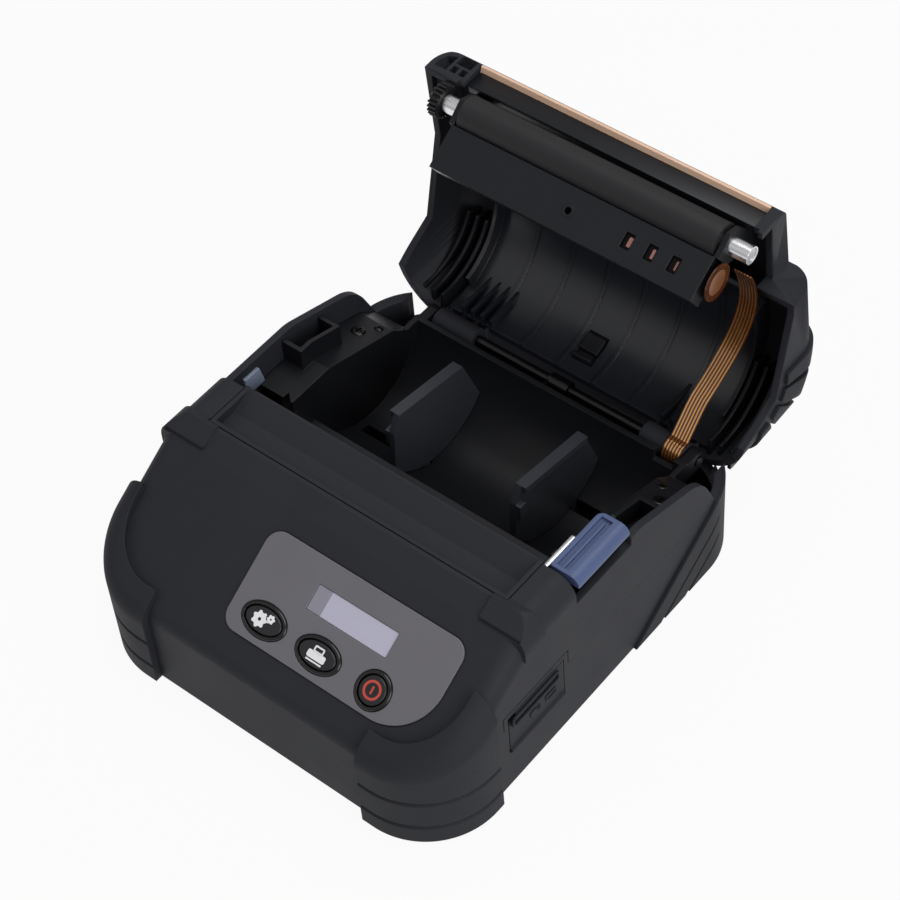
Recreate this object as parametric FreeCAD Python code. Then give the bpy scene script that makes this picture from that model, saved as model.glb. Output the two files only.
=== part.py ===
import FreeCAD, Part
import math
import os

# A portable receipt printer for 80 mm paper, drawn with its lid open.
# X runs to the right seen from the front, Y to the rear, Z up, in millimetres.
# The origin is the middle of the base.

V = FreeCAD.Vector

# Case
CASE_WIDTH = 115.0
CASE_DEPTH = 130.0
CORNER_RADIUS = 19.5
PARTING_Z = 25.0
WALL = 2.0
FLOOR = 2.0
BASE_EDGE = 1.2
SEAM = 0.3
RUN_GAP = 0.4

# Upper cover: its slope runs back from the case's front, its shoulder from the slope's top
SLOPE_DEG = 32.6
SLOPE_RUN = 35.0
SLOPE_TOP_Z = 49.5
SHOULDER_RUN = 20.8
COVER_TOP_Z = 52.5
CROWN_RUN = 6.0
SHOULDER_RADIUS = 6.0
FRONT_EDGE_RADIUS = 5.0
CHEEK_TOP_Z = 47.0
CHEEK_FLAT_RUN = 26.2
CHEEK_CREST_SETBACK = 22.5
CHEEK_CREST_Z = 39.0
CHEEK_END_SETBACK = 16.0
CHEEK_ROUND = 13.0
BAND_PROUD = 0.8
BAND_WIDTH = 8.0
BAND_REACH = 13.5

# Exit tray, the recess in front of the lid
TRAY_HALF = 46.2
TRAY_SETBACK = 8.5
TRAY_OVERHANG = 1.1
TRAY_DEPTH = 3.2
TRAY_WALL = 1.2
TRAY_FLOOR_RUN = 6.5
TRAY_RIM = 1.4

# Rubber bumpers
BUMPER_PROUD = 2.2
BUMPER_STEP = 1.6
BUMPER_BAND = 4.4
BUMPER_FRONT_RUN = 23.0
BUMPER_SIDE_RUN = 22.0
BUMPER_ROUND = 0.9
GROOVE_LOW_Z = 8.0
GROOVE_HIGH_Z = 18.0
GROOVE_WIDTH = 1.8
REAR_BUMPER_PROUD = 1.0
REAR_BUMPER_RUN = 53.0
REAR_BUMPER_TOP_RUN = 16.0
REAR_BUMPER_WRAP = 27.5

# Control panel, measured down the slope from its top edge
PANEL_LEFT = -15.5
PANEL_RIGHT = 46.0
PANEL_TOP = 5.8
PANEL_BOTTOM = 33.2
PANEL_ROUND = 4.5
PANEL_BIG_ROUND = 14.0
PANEL_SINK = 0.6
PANEL_PROUD = 0.4
WINDOW_LEFT = 3.3
WINDOW_RIGHT = 28.3
WINDOW_TOP = 12.1
WINDOW_BOTTOM = 19.0
WINDOW_LEDGE = 1.0
KEY_ROW = 27.0
KEY_X = -4.9
KEY_PITCH = 17.3
BEZEL_A = 6.9
BEZEL_B = 4.5
BEZEL_ROUND_R = 5.1
BEZEL_RING = 1.4
BEZEL_PROUD = 0.8
KEY_PROUD = 0.9
KEY_TRAVEL = 0.6
KEY_FLANGE = 0.8
KEY_FLANGE_T = 0.8
KEY_BOARD_DROP = 6.2
KEY_BOARD_T = 1.2
SWITCH_HALF = 2.5
DISPLAY_MARGIN = 2.0

# Hinge, set in from the case's rear
HINGE_SETBACK = 6.0
HINGE_Z = 22.0
LID_OPEN_DEG = 86.0
PIN_RADIUS = 1.5
PIN_FIT = 0.05
PIN_STICK = 0.4
BARREL_RADIUS = 3.5
ARM_INSET = 1.3
KNUCKLE_GAP = 0.6
KNUCKLE_LENGTH = 13.6
KNUCKLE_RIB_T = 0.8
KNUCKLE_RIB_COUNT = 4
CURL_WALL = 1.6
CURL_TOP_DEG = 20.0
CURL_END_DEG = -50.0
REAR_NOTCH_INSET = 5.5
SWING_NOTCH_INSET = 10.5
SPRING_HALF = 3.2
SPRING_WIRE = 0.7
SPRING_BORE_GAP = 0.3

# Lid, drawn closed and then turned open about the hinge; its round back is flush with the case's rear
LID_FRONT_GAP = 1.4
LID_FRONT_TOP_Z = 57.7
LID_FRONT_ROUND = 3.0
LID_WALL = 2.0
LID_EDGE_RADIUS = 8.0
ROLL_Z = 31.0
LID_ROLL_RADIUS = 29.0
LEVER_NOTCH_GAP = 0.5
LEVER_NOTCH_END_GAP = 0.8
LID_PAD_PROUD = 1.0
LID_PAD_REACH = 10.5
LID_PAD_COUNT = 4
LID_PAD_FIRST_DEG = 4.0
LID_PAD_PITCH_DEG = 23.0
LID_PAD_SPAN_DEG = 17.0
LINER_RADIUS = 25.0
LINER_WALL = 1.2
LINER_INSET = 0.3
LINER_REAR_DEG = -6.0
LINER_FRONT_DEG = 138.0
LINER_RIB_PITCH = 12.0
LINER_RIB_COUNT = 6
LINER_RIB_H = 0.5
LINER_RIB_W = 1.0
LINER_FLANGE = 4.0
LINER_FLANGE_START_DEG = 14.0
LINER_FLANGE_END_DEG = 106.0
LINER_STAY_DEG = 35.0
FIN_COUNT = 4
FIN_PITCH = 3.2
FIN_FIRST_X = 28.4
FIN_T = 0.8
FIN_H = 3.0
FIN_END_DEG = 25.0
CLIP_LEFT = -4.6
CLIP_RIGHT = 2.0
CLIP_START_DEG = 4.0
CLIP_END_DEG = 25.5

# Platen and its paper guide panel, with the lid closed, set back from the cover's rear edge
PLATEN_SETBACK = 5.2
PLATEN_Z = 43.0
PLATEN_RADIUS = 5.0
PLATEN_INSET = 3.5
SHAFT_RADIUS = 2.0
SHAFT_FIT = 0.05
BUSH_RADIUS = 2.5
BUSH_LEFT_LENGTH = 4.6
BUSH_RIGHT_LENGTH = 6.0
GEAR_TEETH = 22
GEAR_MODULE = 0.4
GEAR_WIDTH = 2.8
BRACKET_T = 1.6
BRACKET_GAP = 0.6
PANEL_TOP_AHEAD = 0.1
PANEL_TOP_BELOW = 5.5
PANEL_BOTTOM_BEHIND = 6.0
PANEL_BOTTOM_BELOW = 16.1
PANEL_LAP = 1.0
PANEL_DEPTH = 6.0
PANEL_SKIN = 1.4
SENSOR_FIRST_X = 18.4
SENSOR_PITCH = 7.0
SENSOR_COUNT = 3
SENSOR_WIDTH = 2.8
SENSOR_HEIGHT = 4.2
PEEP_RADIUS = 1.1
SENSOR_BOARD_T = 1.2
LIP_INSET = 12.5
STRIP_AHEAD = 3.8
STRIP_ABOVE = 12.3
STRIP_DEPTH = 2.2
STRIP_FALL = 0.7
STRIP_LAP = 1.0
STRIP_T = 0.8
LIP_BEHIND = 3.6
LIP_ABOVE = 10.3

# Flex ribbon down the lid, and the barrel it wraps
FLEX_WIDTH = 5.4
FLEX_T = 0.4
FLEX_TOP_INSET = 12.1
FLEX_END_INSET = 3.0
FLEX_START_BEHIND = 8.3
FLEX_START_BELOW = 0.1
FLEX_BEND_AHEAD = 28.0
FLEX_BEND_ABOVE = 31.0
FLEX_STEPS = 8
FLEX_NOTCH_RISE = 1.2
FLEX_WRAP_GAP = 0.15
FLEX_WRAP_START_DEG = 165.0
FLEX_WRAP_END_DEG = 280.0
FLEX_WRAP_STEPS = 8
LOOP_BEHIND = 6.8
LOOP_BELOW = 7.0
LOOP_RADIUS = 5.2
LOOP_BORE = 3.6

# Paper bin
BIN_SETBACK = 34.0
BIN_Z = 30.0
BIN_RADIUS = 22.0
BIN_SIDE = 14.0
BIN_WALL = 1.5
BIN_REAR_TOP_Z = 26.0
BIN_FRONT_TOP_Z = 25.0
BIN_APRON_GAP = 2.2
BIN_APRON_Z = 23.5
DECK_DROP = 8.5
DECK_GAP = 11.6
DECK_T = 1.5
DECK_RIB_INSET = 8.9
DECK_RIB_T = 1.2
DECK_RIB_DROP = 1.6
DECK_RIB_GAP = 0.4
DECK_RIB_END = 3.0

# Paper guides, their racks and the pinion between them, placed from the bin's round
GUIDE_X = 19.0
GUIDE_T = 1.8
GUIDE_END_GAP = 1.3
GUIDE_NOSE_AHEAD = 17.4
GUIDE_NOSE_ABOVE = 1.7
GUIDE_BAR_AHEAD = 14.8
GUIDE_BAR_ABOVE = 7.1
GUIDE_BAR_BEHIND = 11.0
GUIDE_BAR_END_ABOVE = 2.6
GUIDE_REAR_DEG = -38.0
GUIDE_FRONT_DEG = 212.0
GUIDE_BAR_W = 3.2
GUIDE_BAR_H = 2.4
PINION_TEETH = 10
PINION_MODULE = 0.8
PINION_Z = 2.8
PINION_T = 2.6
PINION_STUD = 1.5
RACK_BACK = 2.5
RACK_DEPTH = 1.44
RACK_ROOT_SHARE = 0.26
RACK_TIP_SHARE = 0.12
SLOT_HALF = 1.7

# Wheel teeth, as shares of the module or of the pitch
DEDENDUM = 1.2
TOOTH_ROOT_SHARE = 0.62
TOOTH_TIP_SHARE = 0.34
SHORT_ADDENDUM = 0.8
FULL_ADDENDUM = 1.0
PINION_TOOTH = 0.36
DRIVE_TOOTH = 0.34
PLATEN_TOOTH = 0.5

# Print mechanism
FRAME_STEP = 3.2
FRAME_T = 1.2
FRAME_AHEAD = 7.8
FRAME_BEHIND = 10.8
FRAME_TOP_Z = 45.5
FRAME_BASE_Z = 27.0
HEAD_LAP = 1.0
HEAD_T = 2.2
HEAD_BOTTOM_Z = 35.0
HEAD_TOP_Z = 46.0
HEAD_GAP = 0.4
HEAD_SPRING_T = 0.6
MOTOR_RADIUS = 7.5
MOTOR_LENGTH = 14.0
MOTOR_BEHIND = 8.2
MOTOR_Z = 11.5
DRIVE_INSET = 8.1
DRIVE_MODULE = 0.5
MOTOR_TEETH = 12
DRIVE_TEETH = 30
DRIVE_WIDTH = 2.6
DRIVE_BEHIND = 1.7
DRIVE_SHAFT_R = 1.0

# Latch
LATCH_AHEAD = 5.0
LATCH_Z = 43.2
LATCH_RADIUS = 1.3
LATCH_LIFT_DEG = 7.0
HOOK_STEP = 2.0
HOOK_T = 1.2
HOOK_REACH = 8.2
HOOK_ARM_H = 1.0
LEVER_WIDTH = 8.8
LEVER_GAP = 1.4
LEVER_LENGTH = 20.2
LEVER_TOP_Z = 51.6
LEVER_SKIRT_Z = 48.6
LEVER_SLOT_Z = 44.2
LEVER_ROUND = 4.0
LEVER_TRAY_SINK = 1.0
LEVER_TRAY_RIM = 1.2
LEVER_RIB = 0.7

# Power, boards and sockets
BATTERY_INSET = 21.5
BATTERY_SETBACK = 8.0
BATTERY_DEPTH = 35.0
BATTERY_TOP_Z = 20.0
BATTERY_LEDGE = 2.0
BATTERY_COVER_T = 1.2
BOARD_INSET = 19.5
BOARD_SETBACK = 9.0
BOARD_DEPTH = 36.0
BOARD_T = 1.6
BOARD_GAP = 1.0
CHIP_HALF = 9.0
PORT_SETBACK = 28.0
PORT_LENGTH = 22.0
PORT_BOTTOM_Z = 14.5
PORT_TOP_Z = 28.3
PORT_RIM = 1.5
PORT_FLAP_T = 1.2
PORT_BEAD = 0.7
SOCKET_DEPTH = 9.0
SOCKET_HEIGHT = 5.0
SOCKET_WIDTH = 8.0
SOCKET_PITCH = 8.8
SOCKET_WALL = 0.6

# Screws
BOSS_RADIUS = 3.0
SCREW_RADIUS = 1.25
SCREW_FIT = 0.05
HEAD_RADIUS = 2.4
HEAD_HEIGHT = 1.8
HEAD_SINK = 0.6
FRONT_BOSS_INSET = 13.5
FRONT_BOSS_SETBACK = 15.0
REAR_BOSS_INSET = 7.5
REAR_BOSS_SETBACK = 40.0
BOSS_REACH = 6.0

# Worked-out places: the case
HALF_W = CASE_WIDTH / 2
FRONT_Y = -CASE_DEPTH / 2
REAR_Y = CASE_DEPTH / 2
SLOPE_TOP_Y = FRONT_Y + SLOPE_RUN
COVER_REAR_Y = SLOPE_TOP_Y + SHOULDER_RUN
SLOPE_TAN = math.tan(math.radians(SLOPE_DEG))
CHEEK_FLAT_Y = COVER_REAR_Y + CHEEK_FLAT_RUN
CHEEK_CREST_Y = REAR_Y - CHEEK_CREST_SETBACK
CHEEK_END_Y = REAR_Y - CHEEK_END_SETBACK
BAND_INNER_X = HALF_W - BAND_REACH
TRAY_FRONT_Y = SLOPE_TOP_Y + TRAY_SETBACK
TRAY_REAR_Y = COVER_REAR_Y + TRAY_OVERHANG
BUMPER_FRONT_X = HALF_W - BUMPER_FRONT_RUN
REAR_BUMPER_INNER_X = HALF_W - REAR_BUMPER_WRAP
FAR = 2 * CASE_DEPTH
SAME_POINT = 1e-6

# Worked-out places: bin, guides and hinge
BIN_HALF = HALF_W - BIN_SIDE
BIN_Y = REAR_Y - BIN_SETBACK
BIN_APRON_Y = COVER_REAR_Y + BIN_APRON_GAP
DECK_FRONT_Y = COVER_REAR_Y + DECK_GAP
DECK_RIB_X = HALF_W - DECK_RIB_INSET
GUIDE_TRAVEL = BIN_HALF - GUIDE_X - GUIDE_BAR_W - GUIDE_END_GAP
GUIDE_FRONT = (BIN_Y - GUIDE_NOSE_AHEAD, BIN_Z + GUIDE_NOSE_ABOVE)
GUIDE_TOP_FRONT = (BIN_Y - GUIDE_BAR_AHEAD, BIN_Z + GUIDE_BAR_ABOVE)
GUIDE_TOP_REAR = (BIN_Y + GUIDE_BAR_BEHIND, BIN_Z + GUIDE_BAR_END_ABOVE)
HINGE_Y = REAR_Y - HINGE_SETBACK
HINGE = V(0, HINGE_Y, HINGE_Z)
PIN_HALF = BIN_HALF + BIN_WALL + PIN_STICK
ARM_INNER_X = BIN_HALF - ARM_INSET
KNUCKLE_OUTER_X = ARM_INNER_X - KNUCKLE_GAP
KNUCKLE_INNER_X = KNUCKLE_OUTER_X - KNUCKLE_LENGTH
REAR_NOTCH_X = HALF_W - REAR_NOTCH_INSET
SWING_NOTCH_X = HALF_W - SWING_NOTCH_INSET

# Worked-out places: platen, print mechanism and latch
PLATEN_HALF = BIN_HALF - PLATEN_INSET
PLATEN_Y = COVER_REAR_Y + PLATEN_SETBACK
PANEL_HALF = PLATEN_HALF + PANEL_LAP
PANEL_FACE_TOP = (PLATEN_Y - PANEL_TOP_AHEAD, PLATEN_Z - PANEL_TOP_BELOW)
PANEL_FACE_BOTTOM = (PLATEN_Y + PANEL_BOTTOM_BEHIND, PLATEN_Z - PANEL_BOTTOM_BELOW)
FRAME_X = PLATEN_HALF + FRAME_STEP
FRAME_FRONT_Y = COVER_REAR_Y - FRAME_AHEAD
FRAME_REAR_Y = COVER_REAR_Y + FRAME_BEHIND
HEAD_HALF = PLATEN_HALF + HEAD_LAP
MOTOR_Y = COVER_REAR_Y + MOTOR_BEHIND
DRIVE_X = DRIVE_INSET - HALF_W
DRIVE_Y = COVER_REAR_Y + DRIVE_BEHIND
LATCH_Y = COVER_REAR_Y - LATCH_AHEAD
HOOK_X = FRAME_X + HOOK_STEP
HOOK_NOSE_Y = LATCH_Y + HOOK_REACH
LEVER_INNER_X = HALF_W - LEVER_WIDTH
LEVER_FRONT_Y = COVER_REAR_Y + LEVER_GAP
LEVER_REAR_Y = LEVER_FRONT_Y + LEVER_LENGTH
DECK_RIB_FRONT_Y = LEVER_REAR_Y + DECK_RIB_GAP
DECK_RIB_REAR_Y = BIN_Y - DECK_RIB_END

# Worked-out places: lid
LID_FRONT_Y = COVER_REAR_Y + LID_FRONT_GAP
ROLL_Y = REAR_Y - LID_ROLL_RADIUS
LEVER_NOTCH_X = LEVER_INNER_X - LEVER_NOTCH_GAP
LEVER_NOTCH_Y = LEVER_REAR_Y + LEVER_NOTCH_END_GAP
LID_PAD_INNER_X = HALF_W - LID_PAD_REACH
LINER_HALF = BIN_HALF - LINER_INSET
LIP_HALF = HALF_W - LIP_INSET
STRIP_FRONT = (PLATEN_Y - STRIP_AHEAD, PLATEN_Z + STRIP_ABOVE)
STRIP_REAR = (STRIP_FRONT[0] + STRIP_DEPTH, STRIP_FRONT[1] - STRIP_FALL)
LIP_REAR = (PLATEN_Y + LIP_BEHIND, PLATEN_Z + LIP_ABOVE)
FLEX_TOP_X = HALF_W - FLEX_TOP_INSET
FLEX_END_X = KNUCKLE_OUTER_X - FLEX_END_INSET
FLEX_START = (PLATEN_Y + FLEX_START_BEHIND, PLATEN_Z - FLEX_START_BELOW)
FLEX_BEND = (HINGE_Y - FLEX_BEND_AHEAD, HINGE_Z + FLEX_BEND_ABOVE)
LOOP_Y = PLATEN_Y + LOOP_BEHIND
LOOP_Z = PLATEN_Z - LOOP_BELOW

# Worked-out places: power, sockets and screws
BATTERY_HALF = HALF_W - BATTERY_INSET
BATTERY_FRONT_Y = FRONT_Y + BATTERY_SETBACK
BATTERY_REAR_Y = BATTERY_FRONT_Y + BATTERY_DEPTH
BOARD_HALF = HALF_W - BOARD_INSET
BOARD_FRONT_Y = FRONT_Y + BOARD_SETBACK
BOARD_REAR_Y = BOARD_FRONT_Y + BOARD_DEPTH
PORT_FRONT_Y = FRONT_Y + PORT_SETBACK
PORT_REAR_Y = PORT_FRONT_Y + PORT_LENGTH
PORT_HINGE_Z = PORT_BOTTOM_Z + SEAM
FRONT_BOSS_X = HALF_W - FRONT_BOSS_INSET
FRONT_BOSS_Y = FRONT_Y + FRONT_BOSS_SETBACK
REAR_BOSS_X = HALF_W - REAR_BOSS_INSET
REAR_BOSS_Y = REAR_Y - REAR_BOSS_SETBACK


def box(x0, x1, y0, y1, z0, z1):
    """A block between two corners."""
    return Part.makeBox(x1 - x0, y1 - y0, z1 - z0, V(x0, y0, z0))


def rod_x(x0, x1, y, z, radius):
    """A round bar along X."""
    return Part.makeCylinder(radius, x1 - x0, V(x0, y, z), V(1, 0, 0))


def rod_z(x, y, z0, z1, radius):
    """A round bar along Z."""
    return Part.makeCylinder(radius, z1 - z0, V(x, y, z0), V(0, 0, 1))


def tube_x(x0, x1, y, z, outer, inner):
    """A round sleeve along X."""
    return rod_x(x0, x1, y, z, outer).cut(rod_x(x0, x1, y, z, inner))


def prism_x(outline, x0, x1):
    """A side outline of (y, z) points, carried across from x0 to x1."""
    points = [V(x0, y, z) for y, z in outline]
    face = Part.Face(Part.makePolygon(points + points[:1]))
    return face.extrude(V(x1 - x0, 0, 0))


def profile_x(start, steps, x0, x1):
    """A side outline of lines (one point) and arcs (a point passed, an end point), carried from x0 to x1."""
    edges = []
    last = V(x0, *start)
    for step in list(steps) + [(start,)]:
        end = V(x0, *step[-1])
        if len(step) == 2:
            edges.append(Part.Arc(last, V(x0, *step[0]), end).toShape())
        elif not last.isEqual(end, SAME_POINT):
            edges.append(Part.LineSegment(last, end).toShape())
        last = end
    return Part.Face(Part.Wire(edges)).extrude(V(x1 - x0, 0, 0))


def polar(center_y, center_z, radius, degrees):
    """The (y, z) point at an angle about a centre, from +Y towards +Z."""
    angle = math.radians(degrees)
    return center_y + radius * math.cos(angle), center_z + radius * math.sin(angle)


def sector_x(x0, x1, center, inner, outer, start_deg, end_deg):
    """A part of a ring about an X axis, between two radii and two angles."""
    middle = (start_deg + end_deg) / 2
    steps = [(polar(*center, outer, middle), polar(*center, outer, end_deg)),
             (polar(*center, inner, end_deg),),
             (polar(*center, inner, middle), polar(*center, inner, start_deg))]
    return profile_x(polar(*center, outer, start_deg), steps, x0, x1)


def plan(inset, z0, z1):
    """The case outline seen from above, moved inwards by inset, between two heights."""
    block = box(-HALF_W + inset, HALF_W - inset, FRONT_Y + inset, REAR_Y - inset, z0, z1)
    uprights = [e for e in block.Edges if abs(e.tangentAt(0).z) > 0.5]
    return block.makeFillet(CORNER_RADIUS - inset, uprights)


def mirrored(shape):
    """The same piece on the other side."""
    return shape.mirror(V(0, 0, 0), V(1, 0, 0))


def opened(shape):
    """A lid piece turned from closed to open about the hinge."""
    turned = shape.copy()
    turned.rotate(HINGE, V(1, 0, 0), -LID_OPEN_DEG)
    return turned


def on_slope(shape):
    """A piece drawn flat, with Y up the slope and Z out of it, set on the cover's sloped front."""
    placed = shape.copy()
    placed.rotate(V(0, 0, 0), V(1, 0, 0), SLOPE_DEG)
    placed.translate(V(0, SLOPE_TOP_Y, SLOPE_TOP_Z))
    return placed


def oval(x, y, z0, z1, half_x, half_y):
    """An upright oval or round plug."""
    if half_x == half_y:
        return rod_z(x, y, z0, z1, half_x)
    curve = Part.Ellipse(V(x, y, z0), half_x, half_y).toShape()
    return Part.Face(Part.Wire([curve])).extrude(V(0, 0, z1 - z0))


def spur(teeth, module, width, bore, addendum, thickness_share):
    """A straight-toothed wheel about Z, with plain tapered teeth."""
    pitch = teeth * module / 2
    root = pitch - DEDENDUM * module * addendum
    tip = pitch + module * addendum
    wheel = rod_z(0, 0, 0, width, root)
    half_root = math.pi * module * thickness_share * TOOTH_ROOT_SHARE
    half_tip = math.pi * module * thickness_share * TOOTH_TIP_SHARE
    outline = [V(root - module / 2, -half_root, 0), V(tip, -half_tip, 0),
               V(tip, half_tip, 0), V(root - module / 2, half_root, 0)]
    tooth = Part.Face(Part.makePolygon(outline + outline[:1])).extrude(V(0, 0, width))
    ring = []
    for index in range(teeth):
        one = tooth.copy()
        one.rotate(V(0, 0, 0), V(0, 0, 1), 360.0 * index / teeth)
        ring.append(one)
    return wheel.fuse(ring).cut(rod_z(0, 0, 0, width, bore)).removeSplitter()


def along_x(wheel, x, y, z, turn):
    """A wheel drawn about Z, laid along X with its first face at x."""
    placed = wheel.copy()
    placed.rotate(V(0, 0, 0), V(0, 0, 1), turn)
    placed.rotate(V(0, 0, 0), V(0, 1, 0), 90)
    placed.translate(V(x, y, z))
    return placed


def slope_z(y, lift=0.0):
    """Height of the sloped front at y, lifted by a distance square to it."""
    return SLOPE_TOP_Z + (y - SLOPE_TOP_Y) * SLOPE_TAN + lift / math.cos(math.radians(SLOPE_DEG))


def cheek_outline(drop, front_y):
    """The cheek's side outline, lowered by drop, from front_y to its rear end."""
    return [(front_y, PARTING_Z), (front_y, CHEEK_TOP_Z - drop), (CHEEK_FLAT_Y, CHEEK_TOP_Z - drop),
            (CHEEK_CREST_Y, CHEEK_CREST_Z - drop), (CHEEK_END_Y, PARTING_Z)]


def screw(x, y, z0, z1):
    """A pan-headed screw pointing up, its head at z0."""
    return rod_z(x, y, z0, z0 + HEAD_HEIGHT, HEAD_RADIUS).fuse(rod_z(x, y, z0, z1, SCREW_RADIUS))


def case_screw_places():
    """Where the four case screws stand."""
    places = []
    for side in (-1, 1):
        places.append((side * FRONT_BOSS_X, FRONT_BOSS_Y))
        places.append((side * REAR_BOSS_X, REAR_BOSS_Y))
    return places


def port_block(grow, x0, x1):
    """The port opening's block, larger by grow all round."""
    return box(x0, x1, PORT_FRONT_Y - grow, PORT_REAR_Y + grow, PORT_BOTTOM_Z - grow, PORT_TOP_Z + grow)


def port_bead(radius, trim):
    """A round bead along the port cover's hinge line, shorter by trim at both ends."""
    return Part.makeCylinder(radius, PORT_LENGTH - 2 * trim, V(HALF_W, PORT_FRONT_Y + trim, PORT_HINGE_Z),
                             V(0, 1, 0))


def lower_case():
    """The tub: floor, walls, screw bosses, port opening and the battery bay's rim."""
    outer = plan(0, 0, PARTING_Z)
    foot = [e for e in outer.Edges if e.BoundBox.ZMax < SEAM]
    outer = outer.makeFillet(BASE_EDGE, foot)
    tab = box(HALF_W - WALL, HALF_W, PORT_FRONT_Y - PORT_RIM, PORT_REAR_Y + PORT_RIM, FLOOR,
              PORT_TOP_Z + PORT_RIM)
    tub = outer.cut(plan(WALL, FLOOR, PARTING_Z + WALL)).fuse(tab)
    for x, y in case_screw_places():
        tub = tub.fuse(rod_z(x, y, FLOOR / 2, PARTING_Z, BOSS_RADIUS))
    for x, y in case_screw_places():
        tub = tub.cut(rod_z(x, y, -FLOOR, PARTING_Z, SCREW_RADIUS + SCREW_FIT))
        tub = tub.cut(rod_z(x, y, -FLOOR, HEAD_SINK + HEAD_HEIGHT, HEAD_RADIUS + SCREW_FIT))
    rim = BATTERY_LEDGE
    bay = box(-BATTERY_HALF, BATTERY_HALF, BATTERY_FRONT_Y, BATTERY_REAR_Y, -FLOOR, 2 * FLOOR)
    seat = box(-BATTERY_HALF - rim - SEAM, BATTERY_HALF + rim + SEAM, BATTERY_FRONT_Y - rim - SEAM,
               BATTERY_REAR_Y + rim + SEAM, -FLOOR, BATTERY_COVER_T)
    tub = tub.cut([bay, seat])
    tub = tub.cut(hinge_room())
    tub = tub.cut(port_block(0, HALF_W - PORT_FLAP_T - SEAM, HALF_W + WALL))
    tub = tub.cut(port_block(-PORT_RIM, HALF_W - 2 * WALL, HALF_W + WALL))
    tub = tub.cut(port_bead(PORT_BEAD + SEAM, 0))
    return tub.removeSplitter()


def hinge_room():
    """Room round the hinge for the lid's curl and rear wall over their whole swing."""
    curl = HINGE_SETBACK + RUN_GAP
    swing = rod_x(-REAR_NOTCH_X, REAR_NOTCH_X, HINGE_Y, HINGE_Z, curl)
    above = box(-REAR_NOTCH_X, REAR_NOTCH_X, HINGE_Y - curl, FAR, HINGE_Z, FAR)
    behind = box(-SWING_NOTCH_X, SWING_NOTCH_X, HINGE_Y, FAR, HINGE_Z - curl, FAR)
    return swing.fuse([above, behind])


def battery_cover():
    """The plate that closes the battery bay, flush with the base."""
    rim = BATTERY_LEDGE
    plate = box(-BATTERY_HALF - rim, BATTERY_HALF + rim, BATTERY_FRONT_Y - rim, BATTERY_REAR_Y + rim, 0,
                BATTERY_COVER_T)
    return plate


def battery_pack():
    """The rechargeable pack on its cover: two round cells side by side in one sleeve."""
    radius = (BATTERY_REAR_Y - BATTERY_FRONT_Y - 2 * SEAM) / 4
    bottom = BATTERY_COVER_T
    length = BATTERY_HALF - SEAM
    block = box(-length, length, BATTERY_FRONT_Y + SEAM, BATTERY_REAR_Y - SEAM, bottom, BATTERY_TOP_Z)
    rounds = [e for e in block.Edges if abs(e.tangentAt(0).x) > 0.5 and e.BoundBox.ZMin > bottom]
    return block.makeFillet(radius / 2, rounds)


def main_board():
    """The main circuit board over the battery, with its tallest parts."""
    z = BATTERY_TOP_Z + BOARD_GAP / 2
    board = box(-BOARD_HALF, BOARD_HALF, BOARD_FRONT_Y, BOARD_REAR_Y, z, z + BOARD_T)
    chip = box(-CHIP_HALF, CHIP_HALF, BOARD_REAR_Y - BOARD_GAP - CHIP_HALF, BOARD_REAR_Y - BOARD_GAP, z,
               z + 2 * BOARD_T)
    return board.fuse(chip)


def cover_front(grow):
    """The cover's sloped front with its rounded lip, grown outwards by grow."""
    outline = [(FRONT_Y - grow, PARTING_Z), (FRONT_Y - grow, slope_z(FRONT_Y - grow, grow)),
               (SLOPE_TOP_Y, slope_z(SLOPE_TOP_Y, grow)), (SLOPE_TOP_Y, PARTING_Z)]
    block = prism_x(outline, -HALF_W - grow, HALF_W + grow)
    front = block.common(plan(-grow, PARTING_Z, FAR)).removeSplitter()
    lip = [e for e in front.Edges if is_front_lip(e, grow)]
    return front.makeFillet(FRONT_EDGE_RADIUS + grow, lip)


def is_front_lip(edge, grow):
    """Whether an edge is where the sloped front turns down, along the front or round a front corner."""
    for vertex in edge.Vertexes:
        point = vertex.Point
        if abs(point.z - slope_z(point.y, grow)) > SEAM or point.y > FRONT_Y + CORNER_RADIUS + SEAM:
            return False
    return edge.BoundBox.XLength > SEAM and len(edge.Vertexes) == 2


def cover_outer():
    """The cover's outside: sloped front and crowned shoulder."""
    shoulder = box(-HALF_W, HALF_W, SLOPE_TOP_Y, COVER_REAR_Y, PARTING_Z, COVER_TOP_Z)
    tops = [e for e in shoulder.Edges if abs(e.tangentAt(0).y) > 0.5 and e.BoundBox.ZMin > COVER_TOP_Z - WALL]
    shoulder = shoulder.makeFillet(SHOULDER_RADIUS, tops)
    crown = prism_x([(SLOPE_TOP_Y, PARTING_Z), (SLOPE_TOP_Y, SLOPE_TOP_Z),
                     (SLOPE_TOP_Y + CROWN_RUN, COVER_TOP_Z), (COVER_REAR_Y, COVER_TOP_Z),
                     (COVER_REAR_Y, PARTING_Z)], -HALF_W, HALF_W)
    return cover_front(0).fuse(shoulder.common(crown)).removeSplitter()


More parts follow.
